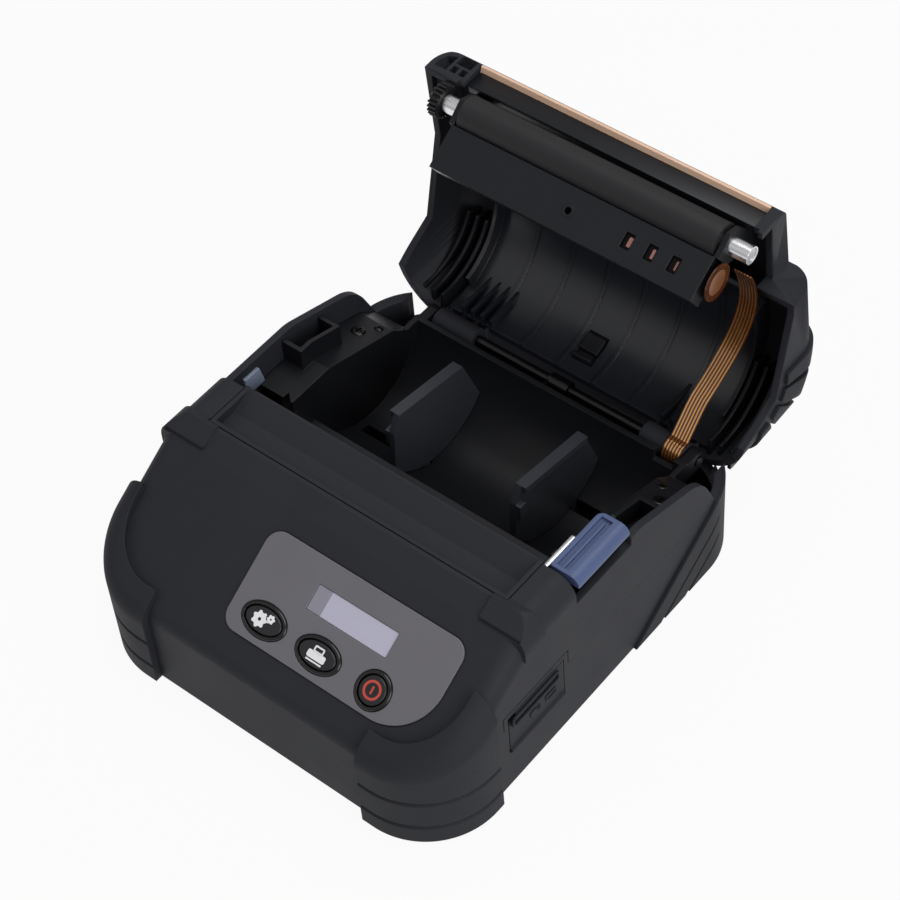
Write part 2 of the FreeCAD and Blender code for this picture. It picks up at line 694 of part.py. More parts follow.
def shoulder_bands():
    """The raised bands over the shoulders, one on each side."""
    grown = box(-HALF_W - BAND_PROUD, HALF_W + BAND_PROUD, SLOPE_TOP_Y, SLOPE_TOP_Y + BAND_WIDTH,
                CHEEK_TOP_Z - SHOULDER_RADIUS / 2, COVER_TOP_Z + BAND_PROUD)
    tops = [e for e in grown.Edges if abs(e.tangentAt(0).y) > 0.5 and e.BoundBox.ZMin > COVER_TOP_Z]
    grown = grown.makeFillet(SHOULDER_RADIUS + BAND_PROUD, tops)
    crown = prism_x([(SLOPE_TOP_Y, PARTING_Z), (SLOPE_TOP_Y, SLOPE_TOP_Z + BAND_PROUD),
                     (SLOPE_TOP_Y + CROWN_RUN, COVER_TOP_Z + BAND_PROUD),
                     (SLOPE_TOP_Y + BAND_WIDTH, COVER_TOP_Z + BAND_PROUD / 4),
                     (SLOPE_TOP_Y + BAND_WIDTH, PARTING_Z)], BAND_INNER_X, FAR)
    core = box(0, HALF_W - WALL / 2, SLOPE_TOP_Y, SLOPE_TOP_Y + BAND_WIDTH, PARTING_Z, COVER_TOP_Z - WALL)
    right = grown.common(crown).cut(core)
    return [right, mirrored(right)]


def cheek():
    """The right cheek, with the slot under the release lever."""
    wall = prism_x(cheek_outline(0, COVER_REAR_Y - WALL), HALF_W - WALL, HALF_W)
    bends = [e for e in wall.Edges if abs(e.tangentAt(0).x) > 0.5 and e.BoundBox.ZMin > PARTING_Z + SEAM
             and e.BoundBox.YMin > COVER_REAR_Y]
    return wall.makeFillet(CHEEK_ROUND, bends).common(plan(0, PARTING_Z, FAR))


def cover_inner():
    """The hollow of the cover, open below and behind."""
    lift = -WALL
    slope = prism_x([(FRONT_Y + WALL, 0), (FRONT_Y + WALL, slope_z(FRONT_Y + WALL, lift)),
                     (SLOPE_TOP_Y + WALL, slope_z(SLOPE_TOP_Y + WALL, lift)), (SLOPE_TOP_Y + WALL, 0)],
                    -HALF_W + WALL, HALF_W - WALL)
    top = COVER_TOP_Z - WALL
    shoulder = box(-HALF_W + WALL, HALF_W - WALL, SLOPE_TOP_Y + WALL, COVER_REAR_Y + WALL, 0, top)
    edges = [e for e in shoulder.Edges if abs(e.tangentAt(0).y) > 0.5 and e.BoundBox.ZMin > top - WALL]
    shoulder = shoulder.makeFillet(SHOULDER_RADIUS - WALL, edges)
    crown = prism_x([(SLOPE_TOP_Y + WALL, 0), (SLOPE_TOP_Y + WALL, slope_z(SLOPE_TOP_Y + WALL, lift)),
                     (SLOPE_TOP_Y + CROWN_RUN + WALL, top), (COVER_REAR_Y + WALL, top),
                     (COVER_REAR_Y + WALL, 0)],
                    -HALF_W, HALF_W)
    return slope.fuse(shoulder.common(crown)).common(plan(WALL, 0, FAR))


def panel_outline(grow, z0, z1):
    """The control overlay's outline: three small corners and one large one, grown by grow."""
    left, right = PANEL_LEFT - grow, PANEL_RIGHT + grow
    top, bottom = -PANEL_TOP + grow, -PANEL_BOTTOM - grow
    block = box(left, right, bottom, top, z0, z1)
    uprights = [e for e in block.Edges if abs(e.tangentAt(0).z) > 0.5]
    large = [e for e in uprights if e.CenterOfMass.x > 0 and e.CenterOfMass.y < (top + bottom) / 2]
    small = [e for e in uprights if not any(e.isSame(o) for o in large)]
    block = block.makeFillet(PANEL_ROUND + grow, small)
    corner = [e for e in block.Edges if abs(e.tangentAt(0).z) > 0.5 and e.CenterOfMass.x > right - SEAM
              and e.CenterOfMass.y < bottom + SEAM]
    return block.makeFillet(PANEL_BIG_ROUND + grow, corner)


def key_places():
    """The three keys: name, middle and half sizes of the bezel's outline."""
    names = ("settings_button", "feed_button", "power_button")
    sizes = ((BEZEL_A, BEZEL_B), (BEZEL_A, BEZEL_B), (BEZEL_ROUND_R, BEZEL_ROUND_R))
    return [(name, KEY_X + index * KEY_PITCH, size) for index, (name, size) in enumerate(zip(names, sizes))]


def key_plug(place, grow, z0, z1):
    """A plug with a key's bezel outline, grown by grow."""
    name, x, (half_x, half_y) = place
    return oval(x, -KEY_ROW, z0, z1, half_x + grow, half_y + grow)


def window_block(grow, z0, z1):
    """A block with the display window's outline, grown by grow."""
    return box(WINDOW_LEFT - grow, WINDOW_RIGHT + grow, -WINDOW_BOTTOM - grow, -WINDOW_TOP + grow, z0, z1)


def upper_cover():
    """The cover: sloped front, shoulder, cheeks, and its openings for the panel, the tray and the lever."""
    shell = cover_outer().fuse(shoulder_bands()).cut(cover_inner())
    right = cheek()
    shell = shell.fuse([right, mirrored(right)])
    for x, y in case_screw_places():
        boss = rod_z(x, y, PARTING_Z, PARTING_Z + BOSS_REACH, BOSS_RADIUS)
        web = box(min(x, math.copysign(HALF_W - WALL / 2, x)), max(x, math.copysign(HALF_W - WALL / 2, x)),
                  y - WALL / 2, y + WALL / 2, PARTING_Z, PARTING_Z + BOSS_REACH)
        shell = shell.fuse([boss, web.common(plan(WALL / 2, PARTING_Z, FAR))])
    for x, y in case_screw_places():
        shell = shell.cut(rod_z(x, y, PARTING_Z - WALL, PARTING_Z + BOSS_REACH - WALL,
                                SCREW_RADIUS + SCREW_FIT))
    shell = shell.cut(on_slope(panel_outline(SEAM / 2, -PANEL_SINK, FAR)))
    shell = shell.cut(on_slope(window_block(-WINDOW_LEDGE, -3 * WALL, WALL)))
    for place in key_places():
        shell = shell.cut(on_slope(key_plug(place, RUN_GAP - BEZEL_RING, -3 * WALL, WALL)))
    hole = TRAY_HALF + TRAY_WALL + SEAM
    shell = shell.cut(box(-hole, hole, TRAY_FRONT_Y - TRAY_WALL - SEAM, COVER_REAR_Y + WALL, CHEEK_TOP_Z,
                          FAR))
    shell = shell.cut(box(HALF_W - 2 * WALL, HALF_W + WALL, COVER_REAR_Y, LEVER_REAR_Y + RUN_GAP,
                          LEVER_SLOT_Z, FAR))
    shell = shell.cut(box(HALF_W - 2 * WALL, HALF_W + WALL, PORT_FRONT_Y - PORT_RIM - SEAM,
                          PORT_REAR_Y + PORT_RIM + SEAM, 0, PORT_TOP_Z + PORT_RIM + SEAM))
    return shell.removeSplitter()


def exit_tray():
    """The recess in front of the lid: a floor that ramps up to the rear edge, with end walls and a rim."""
    floor_z = COVER_TOP_Z - TRAY_DEPTH
    outer_half = TRAY_HALF + TRAY_WALL
    block = box(-outer_half, outer_half, TRAY_FRONT_Y - TRAY_WALL, TRAY_REAR_Y, floor_z - TRAY_WALL,
                COVER_TOP_Z)
    hollow = prism_x([(TRAY_FRONT_Y, FAR), (TRAY_FRONT_Y, floor_z), (TRAY_FRONT_Y + TRAY_FLOOR_RUN, floor_z),
                      (TRAY_REAR_Y - TRAY_WALL / 2, COVER_TOP_Z - TRAY_WALL / 4),
                      (TRAY_REAR_Y + TRAY_WALL, COVER_TOP_Z - TRAY_WALL / 4), (TRAY_REAR_Y + TRAY_WALL, FAR)],
                     -TRAY_HALF, TRAY_HALF)
    under = prism_x([(TRAY_FRONT_Y + TRAY_FLOOR_RUN + TRAY_WALL, 0),
                     (TRAY_FRONT_Y + TRAY_FLOOR_RUN + TRAY_WALL, floor_z - TRAY_WALL),
                     (TRAY_REAR_Y, COVER_TOP_Z - TRAY_WALL - TRAY_WALL), (TRAY_REAR_Y + WALL, FAR),
                     (FAR, FAR),
                     (FAR, 0)], -outer_half, outer_half)
    feet = box(-outer_half - TRAY_RIM, outer_half + TRAY_RIM, TRAY_FRONT_Y, COVER_REAR_Y - WALL,
               COVER_TOP_Z - WALL - TRAY_WALL, COVER_TOP_Z - WALL - SEAM / 3)
    ear = box(LIP_HALF - SEAM, FAR, LID_FRONT_Y - RUN_GAP, FAR, 0, FAR)
    tray = block.cut([hollow, under]).fuse(feet.cut(hollow).cut(under))
    return tray.cut([ear, mirrored(ear)]).removeSplitter()


def front_corner(z0, z1):
    """The space at the right front corner that the bumpers take."""
    return box(BUMPER_FRONT_X, FAR, -FAR, FRONT_Y + BUMPER_SIDE_RUN, z0, z1)


def bumper_tier(z0, z1, step):
    """One tier of a front bumper, its top edge stepped back by a slope."""
    ring = plan(-BUMPER_PROUD, z0, z1)
    if step:
        ring = ring.makeChamfer(step, [e for e in ring.Edges if e.BoundBox.ZMin > z1 - SEAM])
    return ring.cut(plan(0, z0 - WALL, z1 + WALL)).common(front_corner(0, FAR))


def lower_bumper():
    """The right lower front bumper: a pad round the corner in three tiers."""
    tiers = [bumper_tier(GROOVE_LOW_Z, GROOVE_HIGH_Z, BUMPER_STEP), bumper_tier(GROOVE_HIGH_Z, PARTING_Z, 0)]
    return bumper_tier(BUMPER_ROUND, GROOVE_LOW_Z, BUMPER_STEP).fuse(tiers).removeSplitter()


def upper_bumper():
    """The right upper front bumper: a rounded pad over the corner that follows the slope."""
    pad = cover_front(BUMPER_PROUD).common(front_corner(PARTING_Z, FAR))
    return pad.cut(plan(BUMPER_BAND, 0, FAR)).cut(cover_front(0))


def rear_bumper():
    """The right rear bumper: a slanted pad on the side that wraps the rear corner, with two steps."""
    ring = plan(-REAR_BUMPER_PROUD, BUMPER_ROUND, PARTING_Z).cut(plan(0, 0, FAR))
    slant = prism_x([(REAR_Y - REAR_BUMPER_RUN, 0), (REAR_Y - REAR_BUMPER_TOP_RUN, PARTING_Z),
                     (FAR, PARTING_Z),
                     (FAR, 0)], REAR_BUMPER_INNER_X, FAR)
    pad = ring.common(slant)
    for share in (1 / 3, 2 / 3):
        y0 = REAR_Y - REAR_BUMPER_RUN + share * REAR_BUMPER_TOP_RUN * 2
        groove = prism_x([(y0, 0), (y0 + REAR_BUMPER_RUN - REAR_BUMPER_TOP_RUN, PARTING_Z),
                          (y0 + REAR_BUMPER_RUN - REAR_BUMPER_TOP_RUN + GROOVE_WIDTH, PARTING_Z),
                          (y0 + GROOVE_WIDTH, 0)], HALF_W + REAR_BUMPER_PROUD / 3, FAR)
        pad = pad.cut(groove)
    return pad.cut(hinge_room())


def control_overlay():
    """The grey panel film on the slope, with the window and key openings."""
    film = panel_outline(0, -PANEL_SINK, PANEL_PROUD)
    film = film.cut(window_block(0, -WALL, WALL))
    for place in key_places():
        film = film.cut(key_plug(place, SEAM / 3, -WALL, WALL))
    return on_slope(film)


def display_window():
    """The clear window over the display, just below the film's face."""
    return on_slope(window_block(-SEAM / 3, -PANEL_SINK, PANEL_PROUD / 2))


def display_module():
    """The display behind the window, on the key board."""
    z1 = -WALL - SEAM / 3
    return on_slope(window_block(DISPLAY_MARGIN, -KEY_BOARD_DROP + KEY_BOARD_T, z1))


def button_bezels():
    """The three black rings round the keys."""
    rings = []
    for place in key_places():
        ring = key_plug(place, 0, -PANEL_SINK, BEZEL_PROUD)
        crest = [e for e in ring.Edges if e.BoundBox.ZMin > BEZEL_PROUD - SEAM]
        ring = ring.makeFillet(BEZEL_RING / 2, crest)
        rings.append(on_slope(ring.cut(key_plug(place, RUN_GAP - BEZEL_RING, -WALL, WALL))))
    return Part.makeCompound(rings)


def button(place):
    """A key: a domed cap with a flange under the cover."""
    cap = key_plug(place, -BEZEL_RING, -WALL - KEY_FLANGE_T, KEY_PROUD)
    crest = [e for e in cap.Edges if e.BoundBox.ZMin > KEY_PROUD - SEAM]
    cap = cap.makeFillet(KEY_PROUD / 2, crest)
    under = -WALL - SEAM / 3
    flange = key_plug(place, KEY_FLANGE - BEZEL_RING + RUN_GAP, under - KEY_FLANGE_T, under)
    return on_slope(cap.fuse(flange))


def key_board():
    """The board under the keys with one switch below each."""
    z0 = -KEY_BOARD_DROP
    board = box(PANEL_LEFT, PANEL_RIGHT - PANEL_BIG_ROUND / 2, -PANEL_BOTTOM, -PANEL_TOP, z0,
                z0 + KEY_BOARD_T)
    top = -WALL - SEAM / 3 - KEY_FLANGE_T - KEY_TRAVEL - SEAM / 3
    for name, x, size in key_places():
        board = board.fuse(box(x - SWITCH_HALF, x + SWITCH_HALF, -KEY_ROW - SWITCH_HALF,
                               -KEY_ROW + SWITCH_HALF,
                               z0, top))
    return on_slope(board)


def bin_outline(grow):
    """The bin's hollow seen from the side, grown outwards by grow: round floor, rear wall, front apron."""
    radius = BIN_RADIUS + grow
    front = (BIN_Y - radius, BIN_Z)
    rear = (BIN_Y + radius, BIN_Z)
    return front, rear, (BIN_Y, BIN_Z - radius)


def bin_hollow(grow, half):
    """The bin's hollow as a solid, grown by grow and half wide each way."""
    front, rear, bottom = bin_outline(grow)
    steps = [(bottom, rear), ((rear[0], FAR),), ((front[0], FAR),)]
    return profile_x(front, steps, -half, half)


def paper_bin():
    """The bin: round floor, side walls, front apron, side decks and the arms that carry the hinge pin."""
    outer_half = BIN_HALF + BIN_WALL
    tub = bin_hollow(BIN_WALL, outer_half).cut(bin_hollow(0, BIN_HALF))
    rear_cut = box(-FAR, FAR, BIN_Y, FAR, BIN_REAR_TOP_Z, 2 * FAR)
    front_cut = box(-FAR, FAR, -FAR, BIN_Y, BIN_FRONT_TOP_Z, 2 * FAR)
    tub = tub.cut([rear_cut, front_cut])
    front_y = BIN_Y - BIN_RADIUS - BIN_WALL
    apron = prism_x([(front_y + BIN_WALL / 2, BIN_FRONT_TOP_Z), (BIN_APRON_Y, BIN_APRON_Z),
                     (BIN_APRON_Y, BIN_APRON_Z - BIN_WALL),
                     (front_y + BIN_WALL / 2, BIN_FRONT_TOP_Z - BIN_WALL)],
                    -outer_half, outer_half)
    side = prism_x(cheek_outline(DECK_DROP, DECK_FRONT_Y), BIN_HALF, outer_half)
    lower = prism_x([(BIN_Y - BIN_RADIUS, BIN_FRONT_TOP_Z - BIN_WALL), (BIN_Y - BIN_RADIUS, PARTING_Z),
                     (BIN_Y + BIN_RADIUS, PARTING_Z), (BIN_Y + BIN_RADIUS, BIN_FRONT_TOP_Z - BIN_WALL)],
                    BIN_HALF, outer_half)
    deck_top = prism_x(cheek_outline(DECK_DROP, DECK_FRONT_Y), BIN_HALF, HALF_W - WALL - SEAM)
    deck_under = prism_x(cheek_outline(DECK_DROP + DECK_T, -FAR), 0, FAR)
    deck = deck_top.cut(deck_under)
    arm = rod_x(ARM_INNER_X, outer_half, HINGE_Y, HINGE_Z, BARREL_RADIUS - RUN_GAP)
    reach = box(ARM_INNER_X, outer_half, BIN_Y + BIN_RADIUS - BIN_WALL, HINGE_Y,
                HINGE_Z - BARREL_RADIUS + RUN_GAP,
                HINGE_Z + BARREL_RADIUS - RUN_GAP)
    pieces = [apron]
    for part in (side, lower, deck, deck_rib(), arm, reach):
        pieces.append(part)
        pieces.append(mirrored(part))
    tub = tub.fuse(pieces)
    tub = tub.cut(rod_x(-FAR, FAR, HINGE_Y, HINGE_Z, PIN_RADIUS))
    tub = tub.cut(bin_hollow(0, BIN_HALF).common(box(-FAR, FAR, BIN_Y - BIN_RADIUS, BIN_Y + BIN_RADIUS, 0,
                                                     FAR)))
    tub = tub.cut([guide_slot(-1), guide_slot(1), flex_notch()])
    return tub.removeSplitter()


def flex_notch():
    """The notch in the bin's rear wall that the flex ribbon passes through."""
    half = FLEX_WIDTH / 2 + RUN_GAP
    return box(FLEX_END_X - half, FLEX_END_X + half, BIN_Y, BIN_Y + BIN_RADIUS + 2 * BIN_WALL,
               HINGE_Z + FLEX_NOTCH_RISE, FAR)


def deck_rib():
    """The right deck's rib, a thin wall that follows the cheek and turns out to it at both ends."""
    outer = HALF_W - WALL - SEAM
    rise = prism_x(cheek_outline(DECK_RIB_DROP, DECK_RIB_FRONT_Y), DECK_RIB_X, outer)
    rise = rise.cut(prism_x(cheek_outline(DECK_DROP + DECK_T / 2, -FAR), 0, FAR))
    rise = rise.cut(box(0, FAR, DECK_RIB_REAR_Y, FAR, 0, FAR))
    pocket = box(DECK_RIB_X + DECK_RIB_T, outer + WALL, DECK_RIB_FRONT_Y + DECK_RIB_T,
                 DECK_RIB_REAR_Y - DECK_RIB_T, 0, FAR)
    return rise.cut(pocket)


def rack_line(side):
    """The y of a guide's rack back, in front of the pinion on the left and behind it on the right."""
    return BIN_Y + side * (PINION_TEETH * PINION_MODULE / 2 + PINION_MODULE)


def guide_slot(side):
    """The slot in the bin floor that a guide's foot slides in."""
    middle = rack_line(side) + side * RACK_BACK / 2
    inner = GUIDE_X - RUN_GAP
    outer = GUIDE_X + GUIDE_T + GUIDE_TRAVEL + RUN_GAP
    x0, x1 = sorted((side * inner, side * outer))
    return box(x0, x1, middle - SLOT_HALF, middle + SLOT_HALF, 0, BIN_Z - BIN_RADIUS + WALL)


def rack(side):
    """A guide's toothed rack under the bin floor, reaching past the pinion."""
    pitch = math.pi * PINION_MODULE
    back = rack_line(side)
    x_out = side * (GUIDE_X + GUIDE_T)
    x_in = -side * (GUIDE_TRAVEL + PINION_TEETH * PINION_MODULE / 2)
    x0, x1 = sorted((x_out, x_in))
    y0, y1 = sorted((back, back + side * RACK_BACK))
    bar = box(x0, x1, y0, y1, PINION_Z, PINION_Z + PINION_T)
    teeth = []
    half_root = pitch * RACK_ROOT_SHARE
    half_tip = pitch * RACK_TIP_SHARE
    first = math.ceil((x0 + half_root) / pitch)
    last = math.floor((x1 - half_root) / pitch)
    for index in range(first, last + 1):
        x = index * pitch
        outline = [V(x - half_root, back, PINION_Z), V(x - half_tip, back - side * RACK_DEPTH, PINION_Z),
                   V(x + half_tip, back - side * RACK_DEPTH, PINION_Z), V(x + half_root, back, PINION_Z)]
        teeth.append(Part.Face(Part.makePolygon(outline + outline[:1])).extrude(V(0, 0, PINION_T)))
    return bar.fuse(teeth)


def paper_guide(side):
    """A paper guide: a round-bottomed plate with a thick top bar and nose, its foot and its rack."""
    radius = BIN_RADIUS - RUN_GAP
    rear_low = polar(BIN_Y, BIN_Z, radius, GUIDE_REAR_DEG)
    bottom = polar(BIN_Y, BIN_Z, radius, -90)
    front_low = polar(BIN_Y, BIN_Z, radius, GUIDE_FRONT_DEG)
    x_in, x_out = sorted((side * GUIDE_X, side * (GUIDE_X + GUIDE_T)))
    plate = profile_x(GUIDE_FRONT, [(GUIDE_TOP_FRONT,), (GUIDE_TOP_REAR,), (rear_low,), (bottom, front_low)],
                      x_in, x_out)
    bar_x = sorted((side * GUIDE_X, side * (GUIDE_X + GUIDE_BAR_W)))
    drop = GUIDE_BAR_H
    bar = prism_x([GUIDE_TOP_FRONT, GUIDE_TOP_REAR, (GUIDE_TOP_REAR[0], GUIDE_TOP_REAR[1] - drop),
                   (GUIDE_TOP_FRONT[0], GUIDE_TOP_FRONT[1] - drop)], *bar_x)
    nose = prism_x([GUIDE_FRONT, (GUIDE_FRONT[0] + drop, GUIDE_FRONT[1]),
                    (GUIDE_FRONT[0] + drop, GUIDE_FRONT[1] - 2 * drop),
                    (GUIDE_FRONT[0], GUIDE_FRONT[1] - 2 * drop)],
                   *bar_x)
    back = rack_line(side)
    y0, y1 = sorted((back + side * SEAM / 2, back + side * (RACK_BACK - SEAM / 2)))
    foot = box(x_in, x_out, y0, y1, PINION_Z, BIN_Z - BIN_RADIUS + WALL)
    return plate.fuse([bar, nose, foot, rack(side)]).removeSplitter()


def guide_pinion():
    """The pinion between the two racks, on a stud of the floor."""
    wheel = spur(PINION_TEETH, PINION_MODULE, PINION_T, PINION_STUD + SHAFT_FIT, SHORT_ADDENDUM, PINION_TOOTH)
    wheel.translate(V(0, BIN_Y, PINION_Z))
    return wheel


def guide_stud():
    """The stud that the guide pinion turns on, with a flange on the floor."""
    stud = rod_z(0, BIN_Y, FLOOR, PINION_Z + PINION_T + SEAM, PINION_STUD)
    return stud.fuse(rod_z(0, BIN_Y, FLOOR, PINION_Z - SEAM, 2 * PINION_STUD))


def hinge_pin():
    """The steel hinge pin."""
    return rod_x(-PIN_HALF, PIN_HALF, HINGE_Y, HINGE_Z, PIN_RADIUS)


def hinge_spring():
    """The torsion spring on the pin: close coils and a leg against the bin."""
    inner = PIN_RADIUS + SPRING_BORE_GAP
    coil = tube_x(-SPRING_HALF, SPRING_HALF, HINGE_Y, HINGE_Z, inner + SPRING_WIRE, inner)
    leg = box(-SPRING_HALF, -SPRING_HALF + SPRING_WIRE, BIN_Y + BIN_RADIUS + BIN_WALL, HINGE_Y - inner / 2,
              HINGE_Z + inner - SPRING_WIRE / 2, HINGE_Z + inner + SPRING_WIRE / 3)
    hole = rod_x(-SPRING_HALF, SPRING_HALF, HINGE_Y, HINGE_Z, inner)
    return coil.fuse(leg).cut(hole)


def lid_profile(inset, corner):
    """The closed lid as a side profile, moved inwards by inset, its front top edge rounded by corner."""
    radius = LID_ROLL_RADIUS - inset
    front = LID_FRONT_Y + inset
    top = LID_FRONT_TOP_Z - inset
    steps = [((front, top - corner),)]
    if corner:
        steps.append((polar(front + corner, top - corner, corner, 135), (front + corner, top)))
    steps += [((ROLL_Y, ROLL_Z + radius),),
              (polar(ROLL_Y, ROLL_Z, radius, 45), (ROLL_Y + radius, ROLL_Z)),
              ((ROLL_Y + radius, PARTING_Z + SEAM),), ((CHEEK_END_Y, PARTING_Z + SEAM),),
              ((CHEEK_CREST_Y, CHEEK_CREST_Z + SEAM),), ((CHEEK_FLAT_Y, CHEEK_TOP_Z + SEAM),)]
    return profile_x((front, CHEEK_TOP_Z + SEAM), steps, -HALF_W + inset, HALF_W - inset)


def lid_solid(inset):
    """The closed lid as a full solid, moved inwards by inset, with rounded roof edges and rear corners."""
    block = lid_profile(inset, 0)
    roof = [e for e in block.Edges if is_roof_edge(e, inset)]
    block = block.makeFillet(LID_EDGE_RADIUS - inset, roof)
    return block.common(lid_profile(inset, LID_FRONT_ROUND - inset)).common(plan(inset, 0, FAR))


def is_roof_edge(edge, inset):
    """Whether an edge runs along a side of the lid's roof."""
    side = HALF_W - inset
    bounds = edge.BoundBox
    at_side = bounds.XLength < SEAM and abs(abs(bounds.Center.x) - side) < SEAM
    middle = edge.valueAt((edge.FirstParameter + edge.LastParameter) / 2)
    return at_side and bounds.YLength > SEAM and middle.z > CHEEK_TOP_Z + WALL


def lid_shell():
    """The lid's outer shell with its rear curl, knuckles and the notch for the release lever."""
    shell = lid_solid(0).cut(lid_solid(LID_WALL))
    strip_room = box(-LIP_HALF - SEAM, LIP_HALF + SEAM, -FAR, STRIP_REAR[0] + SEAM, 0,
                     STRIP_FRONT[1] + STRIP_T)
    strip_edge = box(-LIP_HALF - SEAM, LIP_HALF + SEAM, -FAR, STRIP_FRONT[0] + STRIP_LAP, 0, FAR)
    shell = shell.cut([strip_room, strip_edge, hook_room(), mirrored(hook_room()), gear_room()])
    center = (HINGE_Y, HINGE_Z)
    curl = sector_x(-KNUCKLE_OUTER_X, KNUCKLE_OUTER_X, center, HINGE_SETBACK - CURL_WALL, HINGE_SETBACK,
                    CURL_END_DEG, CURL_TOP_DEG)
    rise = box(-KNUCKLE_OUTER_X, KNUCKLE_OUTER_X, REAR_Y - CURL_WALL, REAR_Y, HINGE_Z + CURL_WALL / 2,
               PARTING_Z + LID_WALL).common(plan(0, 0, FAR))
    shell = shell.fuse([curl.common(plan(0, 0, FAR)), rise])
    knuckle = rod_x(KNUCKLE_INNER_X, KNUCKLE_OUTER_X, HINGE_Y, HINGE_Z, BARREL_RADIUS)
    web = sector_x(KNUCKLE_INNER_X, KNUCKLE_OUTER_X, center, PIN_RADIUS, HINGE_SETBACK - CURL_WALL / 2,
                   CURL_END_DEG, CURL_TOP_DEG)
    ribs = knuckle_ribs()
    hinge_side = [knuckle, web] + ribs
    shell = shell.fuse(hinge_side + [mirrored(piece) for piece in hinge_side])
    shell = shell.cut(rod_x(-FAR, FAR, HINGE_Y, HINGE_Z, PIN_RADIUS + PIN_FIT))
    notch = box(LEVER_NOTCH_X, FAR, -FAR, LEVER_NOTCH_Y, 0, FAR)
    wall = box(LEVER_NOTCH_X - LID_WALL, LEVER_NOTCH_X, LID_FRONT_Y, LEVER_NOTCH_Y, LEVER_TOP_Z, FAR)
    step = box(LEVER_NOTCH_X - LID_WALL, HALF_W, LEVER_NOTCH_Y, LEVER_NOTCH_Y + LID_WALL,
               CHEEK_TOP_Z + SEAM, FAR)
    inside = lid_solid(0)
    shell = shell.cut(notch).fuse([wall.common(inside), step.common(inside)])
    return opened(shell.removeSplitter())


def hook_room():
    """Room in the lid's front edge for the right hook while it is lifted."""
    lift = HOOK_REACH * math.sin(math.radians(LATCH_LIFT_DEG))
    top = PLATEN_Z + BUSH_RADIUS + RUN_GAP + HOOK_ARM_H + lift + RUN_GAP
    return box(HOOK_X - RUN_GAP, HOOK_X + HOOK_T + RUN_GAP, -FAR, HOOK_NOSE_Y + RUN_GAP, 0, top)


def gear_x():
    """The left face of the platen's toothed wheel."""
    return -(PLATEN_HALF + BRACKET_GAP + BRACKET_T + BUSH_LEFT_LENGTH + RUN_GAP + GEAR_WIDTH)


def gear_room():
    """Round room in the lid's front edge for the platen's toothed wheel."""
    tip = GEAR_TEETH * GEAR_MODULE / 2 + GEAR_MODULE
    return rod_x(gear_x() - RUN_GAP, gear_x() + GEAR_WIDTH + RUN_GAP, PLATEN_Y, PLATEN_Z, tip + RUN_GAP)


def knuckle_ribs():
    """The grid of thin ribs between the right knuckle and the liner's rear edge."""
    pitch = (KNUCKLE_LENGTH - KNUCKLE_RIB_T) / (KNUCKLE_RIB_COUNT - 1)
    rear = REAR_Y - LID_WALL / 2
    top = PARTING_Z + LID_WALL
    outline = [(HINGE_Y, HINGE_Z + PIN_RADIUS), (HINGE_Y, top), (rear, top), (rear, HINGE_Z + PIN_RADIUS)]
    ribs = []
    for index in range(KNUCKLE_RIB_COUNT):
        x = KNUCKLE_INNER_X + index * pitch
        ribs.append(prism_x(outline, x, x + KNUCKLE_RIB_T))
    middle = (HINGE_Y + BARREL_RADIUS + rear) / 2
    ribs.append(box(KNUCKLE_INNER_X, KNUCKLE_OUTER_X, middle, middle + KNUCKLE_RIB_T, HINGE_Z + PIN_RADIUS,
                    top))
    return ribs


def lid_pad():
    """The right lid pad: stepped ridges over the lid's rounded side edge."""
    grown = lid_solid(-LID_PAD_PROUD)
    core = lid_solid(0)
    ridges = []
    for index in range(LID_PAD_COUNT):
        start = LID_PAD_FIRST_DEG + index * LID_PAD_PITCH_DEG
        wedge = sector_x(LID_PAD_INNER_X, HALF_W + WALL, (ROLL_Y, ROLL_Z), LINER_RADIUS / 2, CASE_DEPTH,
                         start,
                         start + LID_PAD_SPAN_DEG)
        ridges.append(opened(wedge.common(grown).cut(core)))
    return Part.makeCompound(ridges)


def lid_liner():
    """The liner that faces the paper roll: a round skin with ribs across it and flanged ends."""
    center = (ROLL_Y, ROLL_Z)
    outer = LINER_RADIUS + LINER_WALL
    skin = sector_x(-LINER_HALF, LINER_HALF, center, LINER_RADIUS, outer, LINER_REAR_DEG, LINER_FRONT_DEG)
    ribs = []
    for index in range(LINER_RIB_COUNT):
        x = (index - (LINER_RIB_COUNT - 1) / 2) * LINER_RIB_PITCH
        ribs.append(sector_x(x - LINER_RIB_W / 2, x + LINER_RIB_W / 2, center, LINER_RADIUS - LINER_RIB_H,
                             LINER_RADIUS + LINER_WALL / 2, LINER_REAR_DEG, LINER_FRONT_DEG))
    flange = sector_x(LINER_HALF - LINER_WALL, LINER_HALF, center, LINER_RADIUS - LINER_FLANGE, outer,
                      LINER_FLANGE_START_DEG, LINER_FLANGE_END_DEG)
    stays = []
    for side in (-1, 1):
        x0, x1 = sorted((side * (LINER_HALF - LINER_WALL), side * LINER_HALF))
        stays.append(sector_x(x0, x1, center, LINER_RADIUS, LID_ROLL_RADIUS - LID_WALL - SEAM / 3,
                              LINER_STAY_DEG, 90))
    pocket = sector_x(CLIP_LEFT, CLIP_RIGHT, center, LINER_RADIUS - LINER_WALL, outer + LINER_WALL,
                      CLIP_START_DEG, CLIP_END_DEG)
    skin = skin.fuse(ribs + [flange, mirrored(flange)] + stays + liner_fins()).cut(pocket)
    return opened(skin.removeSplitter())


